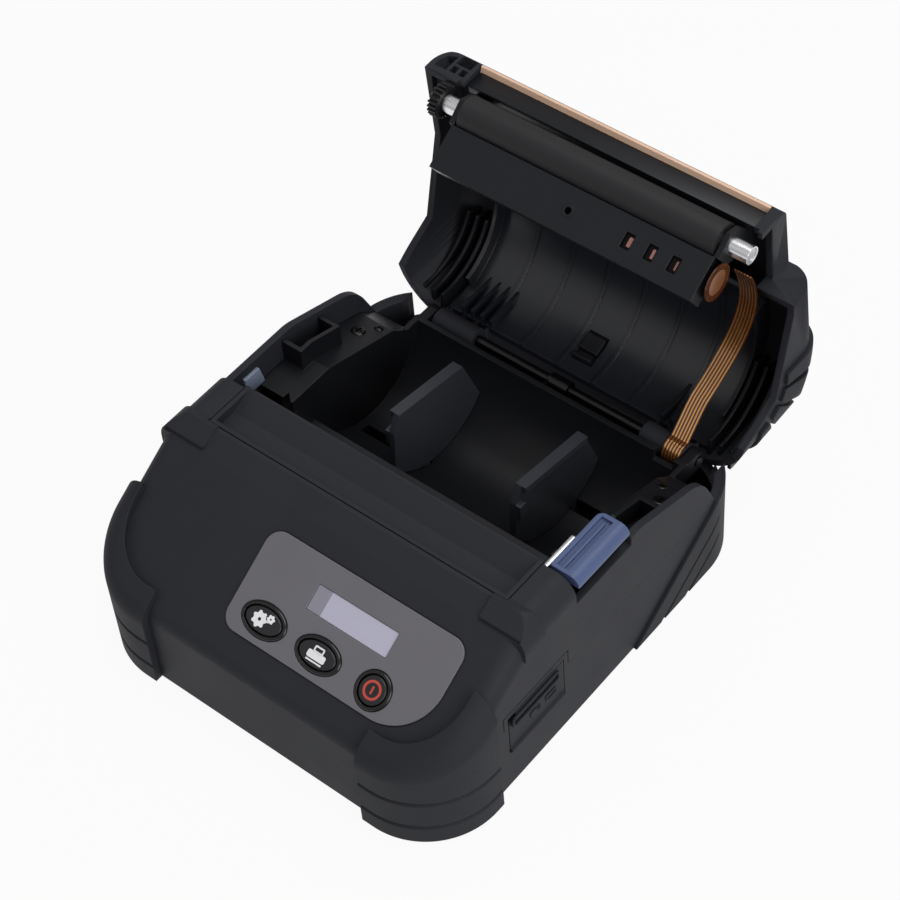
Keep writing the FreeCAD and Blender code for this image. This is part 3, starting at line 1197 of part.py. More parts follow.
def liner_fins():
    """The pointed fins at the liner's rear edge: four on the left, two on the right."""
    base = LINER_RADIUS + LINER_WALL / 2
    outline = [polar(ROLL_Y, ROLL_Z, base, LINER_REAR_DEG),
               polar(ROLL_Y, ROLL_Z, LINER_RADIUS - FIN_H, LINER_REAR_DEG),
               polar(ROLL_Y, ROLL_Z, LINER_RADIUS, FIN_END_DEG),
               polar(ROLL_Y, ROLL_Z, base, FIN_END_DEG)]
    fins = []
    for index in range(FIN_COUNT):
        x = FIN_FIRST_X + index * FIN_PITCH
        fin = prism_x(outline, x, x + FIN_T)
        fins.append(mirrored(fin))
        if index < FIN_COUNT / 2:
            fins.append(fin)
    return fins


def panel_axes():
    """Directions down the panel's face and into the lid behind it, closed, in (y, z)."""
    dy = PANEL_FACE_BOTTOM[0] - PANEL_FACE_TOP[0]
    dz = PANEL_FACE_BOTTOM[1] - PANEL_FACE_TOP[1]
    length = math.hypot(dy, dz)
    return (dy / length, dz / length), (-dz / length, dy / length)


def panel_point(corner, down, depth):
    """A (y, z) point moved from a corner of the panel's face, down the face and into the lid."""
    (ty, tz), (ny, nz) = panel_axes()
    return corner[0] + ty * down + ny * depth, corner[1] + tz * down + nz * depth


def panel_prism(depth0, depth1, trim, half):
    """A slab behind the panel's face between two depths, shorter by trim at both ends."""
    outline = [panel_point(PANEL_FACE_TOP, trim, depth0), panel_point(PANEL_FACE_BOTTOM, -trim, depth0),
               panel_point(PANEL_FACE_BOTTOM, -trim, depth1), panel_point(PANEL_FACE_TOP, trim, depth1)]
    return prism_x(outline, -half, half)


def sensor_cell(x, depth0, depth1, width, height):
    """A block through the panel at x, half way down its face."""
    ny, nz = panel_axes()[1]
    middle_y = (PANEL_FACE_TOP[0] + PANEL_FACE_BOTTOM[0]) / 2
    middle_z = (PANEL_FACE_TOP[1] + PANEL_FACE_BOTTOM[1]) / 2
    block = box(x - width / 2, x + width / 2, depth0, depth1, -height / 2, height / 2)
    block.rotate(V(0, 0, 0), V(1, 0, 0), math.degrees(math.atan2(nz, ny)))
    block.translate(V(0, middle_y, middle_z))
    return block


def sensor_places():
    """The x of each paper sensor."""
    return [SENSOR_FIRST_X + index * SENSOR_PITCH for index in range(SENSOR_COUNT)]


def sensor_panel():
    """The panel behind the platen that guides the paper, hollow behind, with sensor windows."""
    body = panel_prism(0, PANEL_DEPTH, 0, PANEL_HALF)
    hollow = panel_prism(PANEL_SKIN, PANEL_DEPTH + WALL, PANEL_SKIN, PANEL_HALF - PANEL_SKIN)
    body = body.cut(hollow)
    for x in sensor_places():
        body = body.cut(sensor_cell(x, -WALL, 2 * PANEL_SKIN, SENSOR_WIDTH, SENSOR_HEIGHT))
    body = body.cut(sensor_cell(0, -WALL, 2 * PANEL_SKIN, 2 * PEEP_RADIUS, 2 * PEEP_RADIUS))
    body = body.cut(rod_x(-FAR, FAR, PLATEN_Y, PLATEN_Z, PLATEN_RADIUS + RUN_GAP))
    return opened(body)


def sensor_board():
    """The board behind the panel that carries the sensors."""
    depth = PANEL_DEPTH - SENSOR_BOARD_T
    return opened(panel_prism(depth, PANEL_DEPTH, PANEL_SKIN + SEAM / 3, PANEL_HALF - PANEL_SKIN - SEAM / 3))


def paper_sensors():
    """The optical sensors in the panel's windows, on their board."""
    cells = []
    for x in sensor_places():
        cells.append(opened(sensor_cell(x, PANEL_SKIN / 2, PANEL_DEPTH - SENSOR_BOARD_T, SENSOR_WIDTH - SEAM,
                                        SENSOR_HEIGHT - SEAM)))
    return Part.makeCompound(cells)


def platen_bracket():
    """The right platen bracket: a plate from the lid's roof to the panel, bored for the bush."""
    x0 = PLATEN_HALF + BRACKET_GAP
    x1 = x0 + BRACKET_T
    behind = panel_point(PANEL_FACE_TOP, 0, PANEL_DEPTH)
    plate = prism_x([(PLATEN_Y - BUSH_RADIUS - BRACKET_T, PLATEN_Z), PANEL_FACE_TOP, behind,
                     (behind[0] + BUSH_RADIUS, LIP_REAR[1]), (LIP_REAR[0], LIP_REAR[1] - SEAM / 3),
                     (PLATEN_Y - BUSH_RADIUS, PLATEN_Z + BUSH_RADIUS + BRACKET_T)], x0, x1)
    return plate.cut(rod_x(x0 - WALL, x1 + WALL, PLATEN_Y, PLATEN_Z, BUSH_RADIUS))


def platen_bush(side, length):
    """A platen bush: a sleeve on the shaft, seated in the bracket with a collar inside."""
    x0 = PLATEN_HALF + BRACKET_GAP
    sleeve = tube_x(x0, x0 + BRACKET_T + length, PLATEN_Y, PLATEN_Z, BUSH_RADIUS, SHAFT_RADIUS + SHAFT_FIT)
    return opened(sleeve if side > 0 else mirrored(sleeve))


def platen_shaft():
    """The platen's steel shaft."""
    x0 = PLATEN_HALF + BRACKET_GAP + BRACKET_T
    return opened(rod_x(-x0 - BUSH_LEFT_LENGTH - GEAR_WIDTH - BRACKET_T, x0 + BUSH_RIGHT_LENGTH - SEAM,
                        PLATEN_Y,
                        PLATEN_Z, SHAFT_RADIUS))


def platen_rubber():
    """The rubber sleeve of the platen."""
    return opened(tube_x(-PLATEN_HALF, PLATEN_HALF, PLATEN_Y, PLATEN_Z, PLATEN_RADIUS, SHAFT_RADIUS))


def platen_gear():
    """The toothed wheel on the platen's left end, with a hub."""
    wheel = spur(GEAR_TEETH, GEAR_MODULE, GEAR_WIDTH, SHAFT_RADIUS, FULL_ADDENDUM, PLATEN_TOOTH)
    return opened(along_x(wheel, gear_x(), PLATEN_Y, PLATEN_Z, 0))


def tear_strip():
    """The tear strip along the lid's front edge."""
    return opened(prism_x([STRIP_FRONT, STRIP_REAR, (STRIP_REAR[0], STRIP_REAR[1] + STRIP_T),
                           (STRIP_FRONT[0], STRIP_FRONT[1] + STRIP_T)], -LIP_HALF, LIP_HALF))


def lip_plate():
    """The plate behind the tear strip, between the strip and the platen, held up to the roof."""
    outline = [STRIP_REAR, LIP_REAR, (LIP_REAR[0], LID_FRONT_TOP_Z), (STRIP_REAR[0], LID_FRONT_TOP_Z)]
    block = prism_x(outline, -LIP_HALF + SEAM, LIP_HALF - SEAM)
    return opened(block.common(lid_solid(LID_WALL + SEAM / 3)))


def ribbon(stations, width, thickness):
    """A flat band through (x, y, z, angle) stations, its face turned by each angle about X."""
    sections = []
    for x, y, z, degrees in stations:
        angle = math.radians(degrees)
        dy, dz = math.cos(angle) * thickness / 2, math.sin(angle) * thickness / 2
        corners = [V(x - width / 2, y - dy, z - dz), V(x + width / 2, y - dy, z - dz),
                   V(x + width / 2, y + dy, z + dz), V(x - width / 2, y + dy, z + dz)]
        sections.append(Part.makePolygon(corners + corners[:1]))
    return Part.makeLoft(sections, True, True)


def flex_run():
    """The flex's stations down the lid, closed: a smooth bow from its start to the barrel."""
    radius = BARREL_RADIUS + FLEX_WRAP_GAP + FLEX_T / 2
    end = polar(HINGE_Y, HINGE_Z, radius, FLEX_WRAP_START_DEG)
    run = []
    for index in range(FLEX_STEPS):
        t = index / FLEX_STEPS
        y = (1 - t) ** 2 * FLEX_START[0] + 2 * t * (1 - t) * FLEX_BEND[0] + t ** 2 * end[0]
        z = (1 - t) ** 2 * FLEX_START[1] + 2 * t * (1 - t) * FLEX_BEND[1] + t ** 2 * end[1]
        dy = (1 - t) * (FLEX_BEND[0] - FLEX_START[0]) + t * (end[0] - FLEX_BEND[0])
        dz = (1 - t) * (FLEX_BEND[1] - FLEX_START[1]) + t * (end[1] - FLEX_BEND[1])
        x = FLEX_TOP_X + (FLEX_END_X - FLEX_TOP_X) * t * (2 - t)
        run.append((x, y, z, 90 + math.degrees(math.atan2(dz, dy))))
    return run


def flex_ribbon():
    """The flex ribbon: from the sensor board along the lid's side and round the hinge barrel."""
    radius = BARREL_RADIUS + FLEX_WRAP_GAP + FLEX_T / 2
    wrap = []
    for index in range(FLEX_WRAP_STEPS + 1):
        degrees = FLEX_WRAP_START_DEG + (FLEX_WRAP_END_DEG - FLEX_WRAP_START_DEG) * index / FLEX_WRAP_STEPS
        y, z = polar(HINGE_Y, HINGE_Z, radius, degrees)
        wrap.append((FLEX_END_X, y, z, degrees - 180))
    return opened(ribbon(flex_run() + wrap, FLEX_WIDTH, FLEX_T))


def flex_loop():
    """The folded end of the flex behind the panel's right end: a flat ring of film."""
    x = PLATEN_HALF + BRACKET_GAP + BRACKET_T + SEAM / 3
    return opened(tube_x(x, x + FLEX_T, LOOP_Y, LOOP_Z, LOOP_RADIUS, LOOP_BORE))


def print_frame():
    """The print mechanism's steel frame: two notched side plates on a cross member."""
    reach = math.atan2(PLATEN_Z - HINGE_Z, PLATEN_Y - HINGE_Y)
    up = (math.sin(reach), -math.cos(reach))
    plate = prism_x([(FRAME_FRONT_Y, FRAME_BASE_Z), (FRAME_FRONT_Y, FRAME_TOP_Z),
                     (FRAME_REAR_Y, FRAME_TOP_Z - WALL),
                     (FRAME_REAR_Y, FRAME_BASE_Z)], FRAME_X, FRAME_X + FRAME_T)
    slot_half = BUSH_RADIUS + RUN_GAP
    side = (up[1], -up[0])
    long = 4 * BUSH_RADIUS
    slot = prism_x([(PLATEN_Y - side[0] * slot_half, PLATEN_Z - side[1] * slot_half),
                    (PLATEN_Y + side[0] * slot_half, PLATEN_Z + side[1] * slot_half),
                    (PLATEN_Y + side[0] * slot_half + up[0] * long,
                     PLATEN_Z + side[1] * slot_half + up[1] * long),
                    (PLATEN_Y - side[0] * slot_half + up[0] * long,
                     PLATEN_Z - side[1] * slot_half + up[1] * long)],
                   FRAME_X - WALL, FRAME_X + WALL)
    plate = plate.cut([slot, rod_x(FRAME_X - WALL, FRAME_X + WALL, PLATEN_Y, PLATEN_Z, slot_half)])
    plate = plate.cut(rod_x(FRAME_X - WALL, FRAME_X + WALL, LATCH_Y, LATCH_Z, LATCH_RADIUS + SHAFT_FIT))
    cross = prism_x([(FRAME_FRONT_Y, FRAME_BASE_Z), (FRAME_FRONT_Y, FRAME_BASE_Z + FRAME_T),
                     (FRAME_REAR_Y - 3 * WALL, FRAME_BASE_Z + FRAME_T),
                     (FRAME_REAR_Y - 3 * WALL, FRAME_BASE_Z)],
                    -FRAME_X - FRAME_T, FRAME_X + FRAME_T)
    back = box(-FRAME_X - FRAME_T, FRAME_X + FRAME_T, FRAME_FRONT_Y, FRAME_FRONT_Y + FRAME_T, FRAME_BASE_Z,
               LATCH_Z - 2 * LATCH_RADIUS)
    legs = box(FRAME_X - 3 * WALL, FRAME_X + FRAME_T, FRAME_FRONT_Y, FRAME_FRONT_Y + WALL, FLOOR,
               FRAME_BASE_Z)
    return plate.fuse([mirrored(plate), cross, back, legs, mirrored(legs)]).removeSplitter()


def thermal_head():
    """The print head: a plate with its heater ledge, facing the platen."""
    face = PLATEN_Y - PLATEN_RADIUS - HEAD_GAP
    plate = box(-HEAD_HALF, HEAD_HALF, face - HEAD_T, face - HEAD_T / 4, HEAD_BOTTOM_Z, HEAD_TOP_Z)
    ledge = box(-PLATEN_HALF, PLATEN_HALF, face - HEAD_T / 4, face, PLATEN_Z - HEAD_T, PLATEN_Z + HEAD_T)
    ears = box(-FRAME_X, FRAME_X, face - HEAD_T, face - HEAD_T / 2, HEAD_BOTTOM_Z, HEAD_BOTTOM_Z + HEAD_T)
    return plate.fuse([ledge, ears])


def head_spring():
    """The leaf spring that presses the head: a bowed strip between the head and the frame's back."""
    face = PLATEN_Y - PLATEN_RADIUS - HEAD_GAP - HEAD_T
    back = FRAME_FRONT_Y + FRAME_T
    z = HEAD_BOTTOM_Z + HEAD_T
    outline = [(back, z), (back, z + HEAD_T), (face, z + 2 * HEAD_T), (face, z + 2 * HEAD_T - HEAD_SPRING_T)]
    return prism_x(outline, -HEAD_HALF / 2, HEAD_HALF / 2)


def feed_motor():
    """The stepper motor: a round can with a flange and its shaft."""
    x_face = DRIVE_X + DRIVE_WIDTH + WALL
    can = rod_x(x_face, x_face + MOTOR_LENGTH, MOTOR_Y, MOTOR_Z, MOTOR_RADIUS)
    flange = box(x_face, x_face + FRAME_T, MOTOR_Y - MOTOR_RADIUS, MOTOR_Y + MOTOR_RADIUS, FLOOR,
                 MOTOR_Z + MOTOR_RADIUS / 2)
    shaft = rod_x(DRIVE_X - WALL, x_face, MOTOR_Y, MOTOR_Z, DRIVE_SHAFT_R)
    stud_y, stud_z = drive_center(drive_distance())
    stud = rod_x(DRIVE_X - WALL, x_face, stud_y, stud_z, DRIVE_SHAFT_R)
    plate = prism_x([(MOTOR_Y - MOTOR_RADIUS, MOTOR_Z), (MOTOR_Y + MOTOR_RADIUS / 2, MOTOR_Z),
                     (stud_y + WALL, stud_z + WALL), (stud_y - WALL, stud_z + WALL)], x_face,
                     x_face + FRAME_T)
    return can.fuse([flange, shaft, stud, plate]).removeSplitter()


def drive_center(distance):
    """The drive gear's axis, above the motor at the given centre distance."""
    dy = DRIVE_Y - MOTOR_Y
    return DRIVE_Y, MOTOR_Z + math.sqrt(distance ** 2 - dy ** 2)


def drive_distance():
    """Centre distance of the motor pinion and the drive gear."""
    return (MOTOR_TEETH + DRIVE_TEETH) * DRIVE_MODULE / 2 + DRIVE_MODULE / 3


def mesh_turn():
    """Angle that sets a tooth gap of the drive gear against the pinion's tooth."""
    y, z = drive_center(drive_distance())
    return math.degrees(math.atan2(z - MOTOR_Z, y - MOTOR_Y))


def motor_pinion():
    """The small wheel on the motor shaft."""
    wheel = spur(MOTOR_TEETH, DRIVE_MODULE, DRIVE_WIDTH, DRIVE_SHAFT_R + SHAFT_FIT, SHORT_ADDENDUM,
                 DRIVE_TOOTH)
    return along_x_facing(wheel, DRIVE_X, MOTOR_Y, MOTOR_Z, mesh_turn())


def drive_gear():
    """The larger wheel that the platen's wheel meets when the lid is closed."""
    wheel = spur(DRIVE_TEETH, DRIVE_MODULE, DRIVE_WIDTH, DRIVE_SHAFT_R + SHAFT_FIT, SHORT_ADDENDUM,
                 DRIVE_TOOTH)
    half_tooth = 180.0 / DRIVE_TEETH
    y, z = drive_center(drive_distance())
    return along_x_facing(wheel, DRIVE_X, y, z, mesh_turn() + 180 + half_tooth)


def along_x_facing(wheel, x, y, z, degrees):
    """A wheel laid along X with a tooth pointing at an angle from +Y towards +Z."""
    placed = wheel.copy()
    placed.rotate(V(0, 0, 0), V(0, 0, 1), degrees)
    placed.rotate(V(0, 0, 0), V(1, 1, 1), 120)
    placed.translate(V(x, y, z))
    return placed


def latch_shaft():
    """The shaft that the hooks and the lever share."""
    return rod_x(-HOOK_X - HOOK_T, LEVER_INNER_X + WALL, LATCH_Y, LATCH_Z, LATCH_RADIUS)


def latch_hook():
    """The right latch hook: a plate on the shaft with an arm that reaches over the bush."""
    arm_z = PLATEN_Z + BUSH_RADIUS + RUN_GAP
    eye = rod_x(HOOK_X, HOOK_X + HOOK_T, LATCH_Y, LATCH_Z, 2 * LATCH_RADIUS)
    arm = prism_x([(LATCH_Y, arm_z), (LATCH_Y, arm_z + HOOK_ARM_H),
                   (HOOK_NOSE_Y - HOOK_ARM_H, arm_z + HOOK_ARM_H),
                   (HOOK_NOSE_Y, arm_z), (HOOK_NOSE_Y - BUSH_RADIUS, arm_z),
                   (LATCH_Y + LATCH_RADIUS, LATCH_Z)],
                  HOOK_X, HOOK_X + HOOK_T)
    return eye.fuse(arm).cut(rod_x(HOOK_X, HOOK_X + HOOK_T, LATCH_Y, LATCH_Z, LATCH_RADIUS)).removeSplitter()


def release_lever():
    """The release lever: a tray-topped thumb piece on an arm from the latch shaft."""
    x1 = HALF_W - SEAM / 2
    cap = box(LEVER_INNER_X, x1, LEVER_FRONT_Y, LEVER_REAR_Y, LEVER_SKIRT_Z, LEVER_TOP_Z)
    outer_top = [e for e in cap.Edges if abs(e.tangentAt(0).y) > 0.5 and e.BoundBox.ZMin > LEVER_TOP_Z - SEAM
                 and e.BoundBox.XMin > x1 - SEAM]
    cap = cap.makeFillet(LEVER_TOP_Z - LEVER_SKIRT_Z - SEAM, outer_top)
    corner = [e for e in cap.Edges if abs(e.tangentAt(0).z) > 0.5 and e.BoundBox.YMin > LEVER_REAR_Y - SEAM
              and e.BoundBox.XMax < LEVER_INNER_X + SEAM]
    cap = cap.makeFillet(LEVER_ROUND / 2, corner)
    tray = box(LEVER_INNER_X + LEVER_TRAY_RIM, x1 - LEVER_ROUND, LEVER_FRONT_Y + LEVER_TRAY_RIM,
               LEVER_REAR_Y - LEVER_TRAY_RIM, LEVER_TOP_Z - LEVER_TRAY_SINK, LEVER_TOP_Z + WALL)
    middle = (LEVER_INNER_X + LEVER_TRAY_RIM + x1 - LEVER_ROUND) / 2
    rib = box(middle - LEVER_RIB / 2, middle + LEVER_RIB / 2, LEVER_FRONT_Y + LEVER_TRAY_RIM,
              LEVER_REAR_Y - 2 * LEVER_TRAY_RIM, LEVER_TOP_Z - LEVER_TRAY_SINK, LEVER_TOP_Z - SEAM)
    arm = prism_x([(LATCH_Y, LATCH_Z - LATCH_RADIUS), (LATCH_Y - 2 * LATCH_RADIUS, LATCH_Z),
                   (LATCH_Y, LATCH_Z + 2 * LATCH_RADIUS), (LEVER_FRONT_Y + WALL, LEVER_SKIRT_Z + SEAM),
                   (LEVER_FRONT_Y + 2 * WALL, LEVER_SKIRT_Z + SEAM), (LEVER_FRONT_Y + 2 * WALL, LATCH_Z)],
                  LEVER_INNER_X, LEVER_INNER_X + WALL)
    lever = cap.cut(tray).fuse([rib, arm])
    return lever.cut(rod_x(LEVER_INNER_X, LEVER_INNER_X + WALL, LATCH_Y, LATCH_Z,
                           LATCH_RADIUS)).removeSplitter()


def port_cover():
    """The rubber port cover: a plate in the port opening with a hinge bead at its lower edge."""
    x0 = HALF_W - PORT_FLAP_T
    plate = box(x0, HALF_W, PORT_FRONT_Y + SEAM, PORT_REAR_Y - SEAM, PORT_BOTTOM_Z + SEAM, PORT_TOP_Z - SEAM)
    thumb = box(x0, HALF_W + WALL, PORT_FRONT_Y, PORT_FRONT_Y + 2 * PORT_RIM, PORT_TOP_Z - 2 * PORT_RIM,
                PORT_TOP_Z)
    return plate.cut(thumb).fuse(port_bead(PORT_BEAD, SEAM)).removeSplitter()


def io_sockets():
    """The sockets behind the port cover, on the case wall."""
    middle = (PORT_FRONT_Y + PORT_REAR_Y) / 2
    x1 = HALF_W - PORT_FLAP_T - SEAM - SEAM
    z0 = (PORT_BOTTOM_Z + PORT_TOP_Z - SOCKET_HEIGHT) / 2
    pair = []
    for side in (-1, 1):
        y = middle + side * SOCKET_PITCH / 2
        shell = box(x1 - SOCKET_DEPTH, x1, y - SOCKET_WIDTH / 2, y + SOCKET_WIDTH / 2, z0, z0 + SOCKET_HEIGHT)
        half_mouth = SOCKET_WIDTH / 2 - SOCKET_WALL
        mouth = box(x1 - SOCKET_DEPTH / 2, x1 + WALL, y - half_mouth, y + half_mouth, z0 + SOCKET_WALL,
                    z0 + SOCKET_HEIGHT - SOCKET_WALL)
        pair.append(shell.cut(mouth))
    return Part.makeCompound(pair)


def case_screws():
    """The four screws that hold the cover to the case."""
    return Part.makeCompound([screw(x, y, HEAD_SINK, PARTING_Z + BOSS_REACH - 2 * WALL)
                              for x, y in case_screw_places()])


def save(name, shape):
    """Writes one node and reports its solids."""
    shape.exportStep("parts/" + name + ".step")
    state = "valid" if shape.isValid() else "NOT VALID"
    print("%-20s %2d solids  %10.1f mm3  %s" % (name, len(shape.Solids), shape.Volume, state))


def main():
    """Builds every node of the printer."""
    os.makedirs("parts", exist_ok=True)
    save("lower_case", lower_case())
    save("upper_cover", upper_cover())
    save("exit_tray", exit_tray())
    for name, piece in (("lower_bumper", lower_bumper()), ("upper_bumper", upper_bumper()),
                        ("rear_bumper", rear_bumper()), ("lid_pad", lid_pad()), ("latch_hook", latch_hook()),
                        ("platen_bracket", opened(platen_bracket()))):
        save(name + "_right", piece)
        save(name + "_left", mirrored(piece))
    save("control_overlay", control_overlay())
    save("display_window", display_window())
    save("display_module", display_module())
    save("button_bezels", button_bezels())
    for place in key_places():
        save(place[0], button(place))
    save("key_board", key_board())
    save("main_board", main_board())
    save("battery_pack", battery_pack())
    save("battery_cover", battery_cover())
    save("paper_bin", paper_bin())
    save("paper_guide_left", paper_guide(-1))
    save("paper_guide_right", paper_guide(1))
    save("guide_pinion", guide_pinion())
    save("guide_stud", guide_stud())
    save("hinge_pin", hinge_pin())
    save("hinge_spring", hinge_spring())
    save("lid_shell", lid_shell())
    save("lid_liner", lid_liner())
    save("sensor_panel", sensor_panel())
    save("sensor_board", sensor_board())
    save("paper_sensors", paper_sensors())
    save("platen_bush_left", platen_bush(-1, BUSH_LEFT_LENGTH))
    save("platen_bush_right", platen_bush(1, BUSH_RIGHT_LENGTH))
    save("platen_shaft", platen_shaft())
    save("platen_rubber", platen_rubber())
    save("platen_gear", platen_gear())
    save("tear_strip", tear_strip())
    save("lip_plate", lip_plate())
    save("flex_ribbon", flex_ribbon())
    save("flex_loop", flex_loop())
    save("print_frame", print_frame())
    save("thermal_head", thermal_head())
    save("head_spring", head_spring())
    save("feed_motor", feed_motor())
    save("motor_pinion", motor_pinion())
    save("drive_gear", drive_gear())
    save("latch_shaft", latch_shaft())
    save("release_lever", release_lever())
    save("port_cover", port_cover())
    save("io_sockets", io_sockets())
    save("case_screws", case_screws())


main()
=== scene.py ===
"""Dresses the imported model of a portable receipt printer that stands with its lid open."""

from __future__ import annotations

import logging
import math
from contextlib import contextmanager
from dataclasses import dataclass
from enum import Enum
from typing import Callable, Dict, Iterable, Iterator, List, Optional, Sequence, Tuple, Union

import bpy
from mathutils import Matrix, Vector

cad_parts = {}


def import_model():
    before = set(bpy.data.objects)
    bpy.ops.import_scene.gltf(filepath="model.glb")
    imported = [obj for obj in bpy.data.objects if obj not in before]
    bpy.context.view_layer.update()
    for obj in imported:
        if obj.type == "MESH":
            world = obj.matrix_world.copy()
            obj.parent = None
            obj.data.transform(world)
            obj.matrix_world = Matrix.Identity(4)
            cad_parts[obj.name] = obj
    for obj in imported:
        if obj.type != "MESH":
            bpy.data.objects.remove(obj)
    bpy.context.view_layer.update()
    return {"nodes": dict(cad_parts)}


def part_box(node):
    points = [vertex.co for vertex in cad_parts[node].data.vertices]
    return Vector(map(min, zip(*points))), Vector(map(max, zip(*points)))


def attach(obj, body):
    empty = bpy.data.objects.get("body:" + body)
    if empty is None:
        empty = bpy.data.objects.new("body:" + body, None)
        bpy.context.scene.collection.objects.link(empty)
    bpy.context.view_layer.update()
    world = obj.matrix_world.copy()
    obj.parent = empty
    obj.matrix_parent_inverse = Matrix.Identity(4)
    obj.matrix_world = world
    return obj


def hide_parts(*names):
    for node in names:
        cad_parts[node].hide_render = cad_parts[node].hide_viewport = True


LOG = logging.getLogger("receipt_printer")
MM = 0.001
WELD = 1e-6
NEAR = 0.1 * MM
WHITE = (1.0, 1.0, 1.0)
# Stands a flat piece up so that it faces along X.
SIDEWAYS = Matrix(((0.0, 0.0, 1.0), (1.0, 0.0, 0.0), (0.0, 1.0, 0.0))).to_4x4()

Colour = Tuple[float, float, float]
Point = Tuple[float, float, float]
Station = Tuple[float, float]
Value = Union["Sock", float]
Piece = bpy.types.Object
Material = bpy.types.Material
Choice = Callable[[Vector], bool]


class Body(Enum):
    """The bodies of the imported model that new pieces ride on."""

    BASE = "base"
    LID = "lid"
    LATCH = "latch"
    SETTINGS = "settings_key"
    FEED = "feed_key"
    POWER = "power_key"
    PORT = "port_flap"


class Slot(Enum):
    """Material slot names that go along with each new piece; nothing reads them."""

    CASE = "case_plastic"
    RUBBER = "bumper_rubber"
    KEY = "key_plastic"
    LEVER = "lever_plastic"
    FLEX = "flex_amber"
    STEEL = "steel"


class Grain(Enum):
    """The surface of a moulding, and how far its roughness swings."""

    SPARK = 0.16
    SATIN = 0.1
    POLISH = 0.06


class Axis(Enum):
    """A direction that a pattern runs along."""

    X = 0
    Y = 1


class Sock:
    """A shader socket that takes part in Python sums, each sum adding a Math node."""

    def __init__(self, graph: Graph, socket: bpy.types.NodeSocket) -> None:
        """Keeps the socket and the graph it belongs to."""
        self.graph = graph
        self.socket = socket

    def _math(self, operation: str, first: Value, second: Value = 0.0) -> Sock:
        """The result of one new Math node on one or two values."""
        return self.graph.node("ShaderNodeMath", {"operation": operation}, {0: first, 1: second})

    def __add__(self, other: Value) -> Sock:
        """Sum."""
        return self._math("ADD", self, other)

    def __radd__(self, other: Value) -> Sock:
        """Sum with the socket on the right."""
        return self._math("ADD", other, self)

    def __sub__(self, other: Value) -> Sock:
        """Difference."""
        return self._math("SUBTRACT", self, other)

    def __rsub__(self, other: Value) -> Sock:
        """Difference with the socket on the right."""
        return self._math("SUBTRACT", other, self)

    def __mul__(self, other: Value) -> Sock:
        """Product."""
        return self._math("MULTIPLY", self, other)

    def __rmul__(self, other: Value) -> Sock:
        """Product with the socket on the right."""
        return self._math("MULTIPLY", other, self)

    def __mod__(self, other: Value) -> Sock:
        """Remainder, always counted upwards."""
        return self._math("FLOORED_MODULO", self, other)

    def __gt__(self, other: Value) -> Sock:
        """One where the socket is larger, else zero."""
        return self._math("GREATER_THAN", self, other)

    def __lt__(self, other: Value) -> Sock:
        """One where the socket is smaller, else zero."""
        return self._math("LESS_THAN", self, other)

    def __abs__(self) -> Sock:
        """Size without sign."""
        return self._math("ABSOLUTE", self)

    def swing(self, spread: float) -> Sock:
        """How far a value between zero and one leaves its middle, times a spread."""
        return (self - 0.5) * spread

    def clamp(self) -> Sock:
        """The value kept between zero and one."""
        return self.graph.node("ShaderNodeClamp", {}, {"Value": self})


def tint(colour: Colour, factor: float, lift: float = 0.0) -> Colour:
    """A colour made lighter or darker: each channel times a factor, plus a lift."""
    return tuple(min(1.0, channel * factor + lift) for channel in colour)


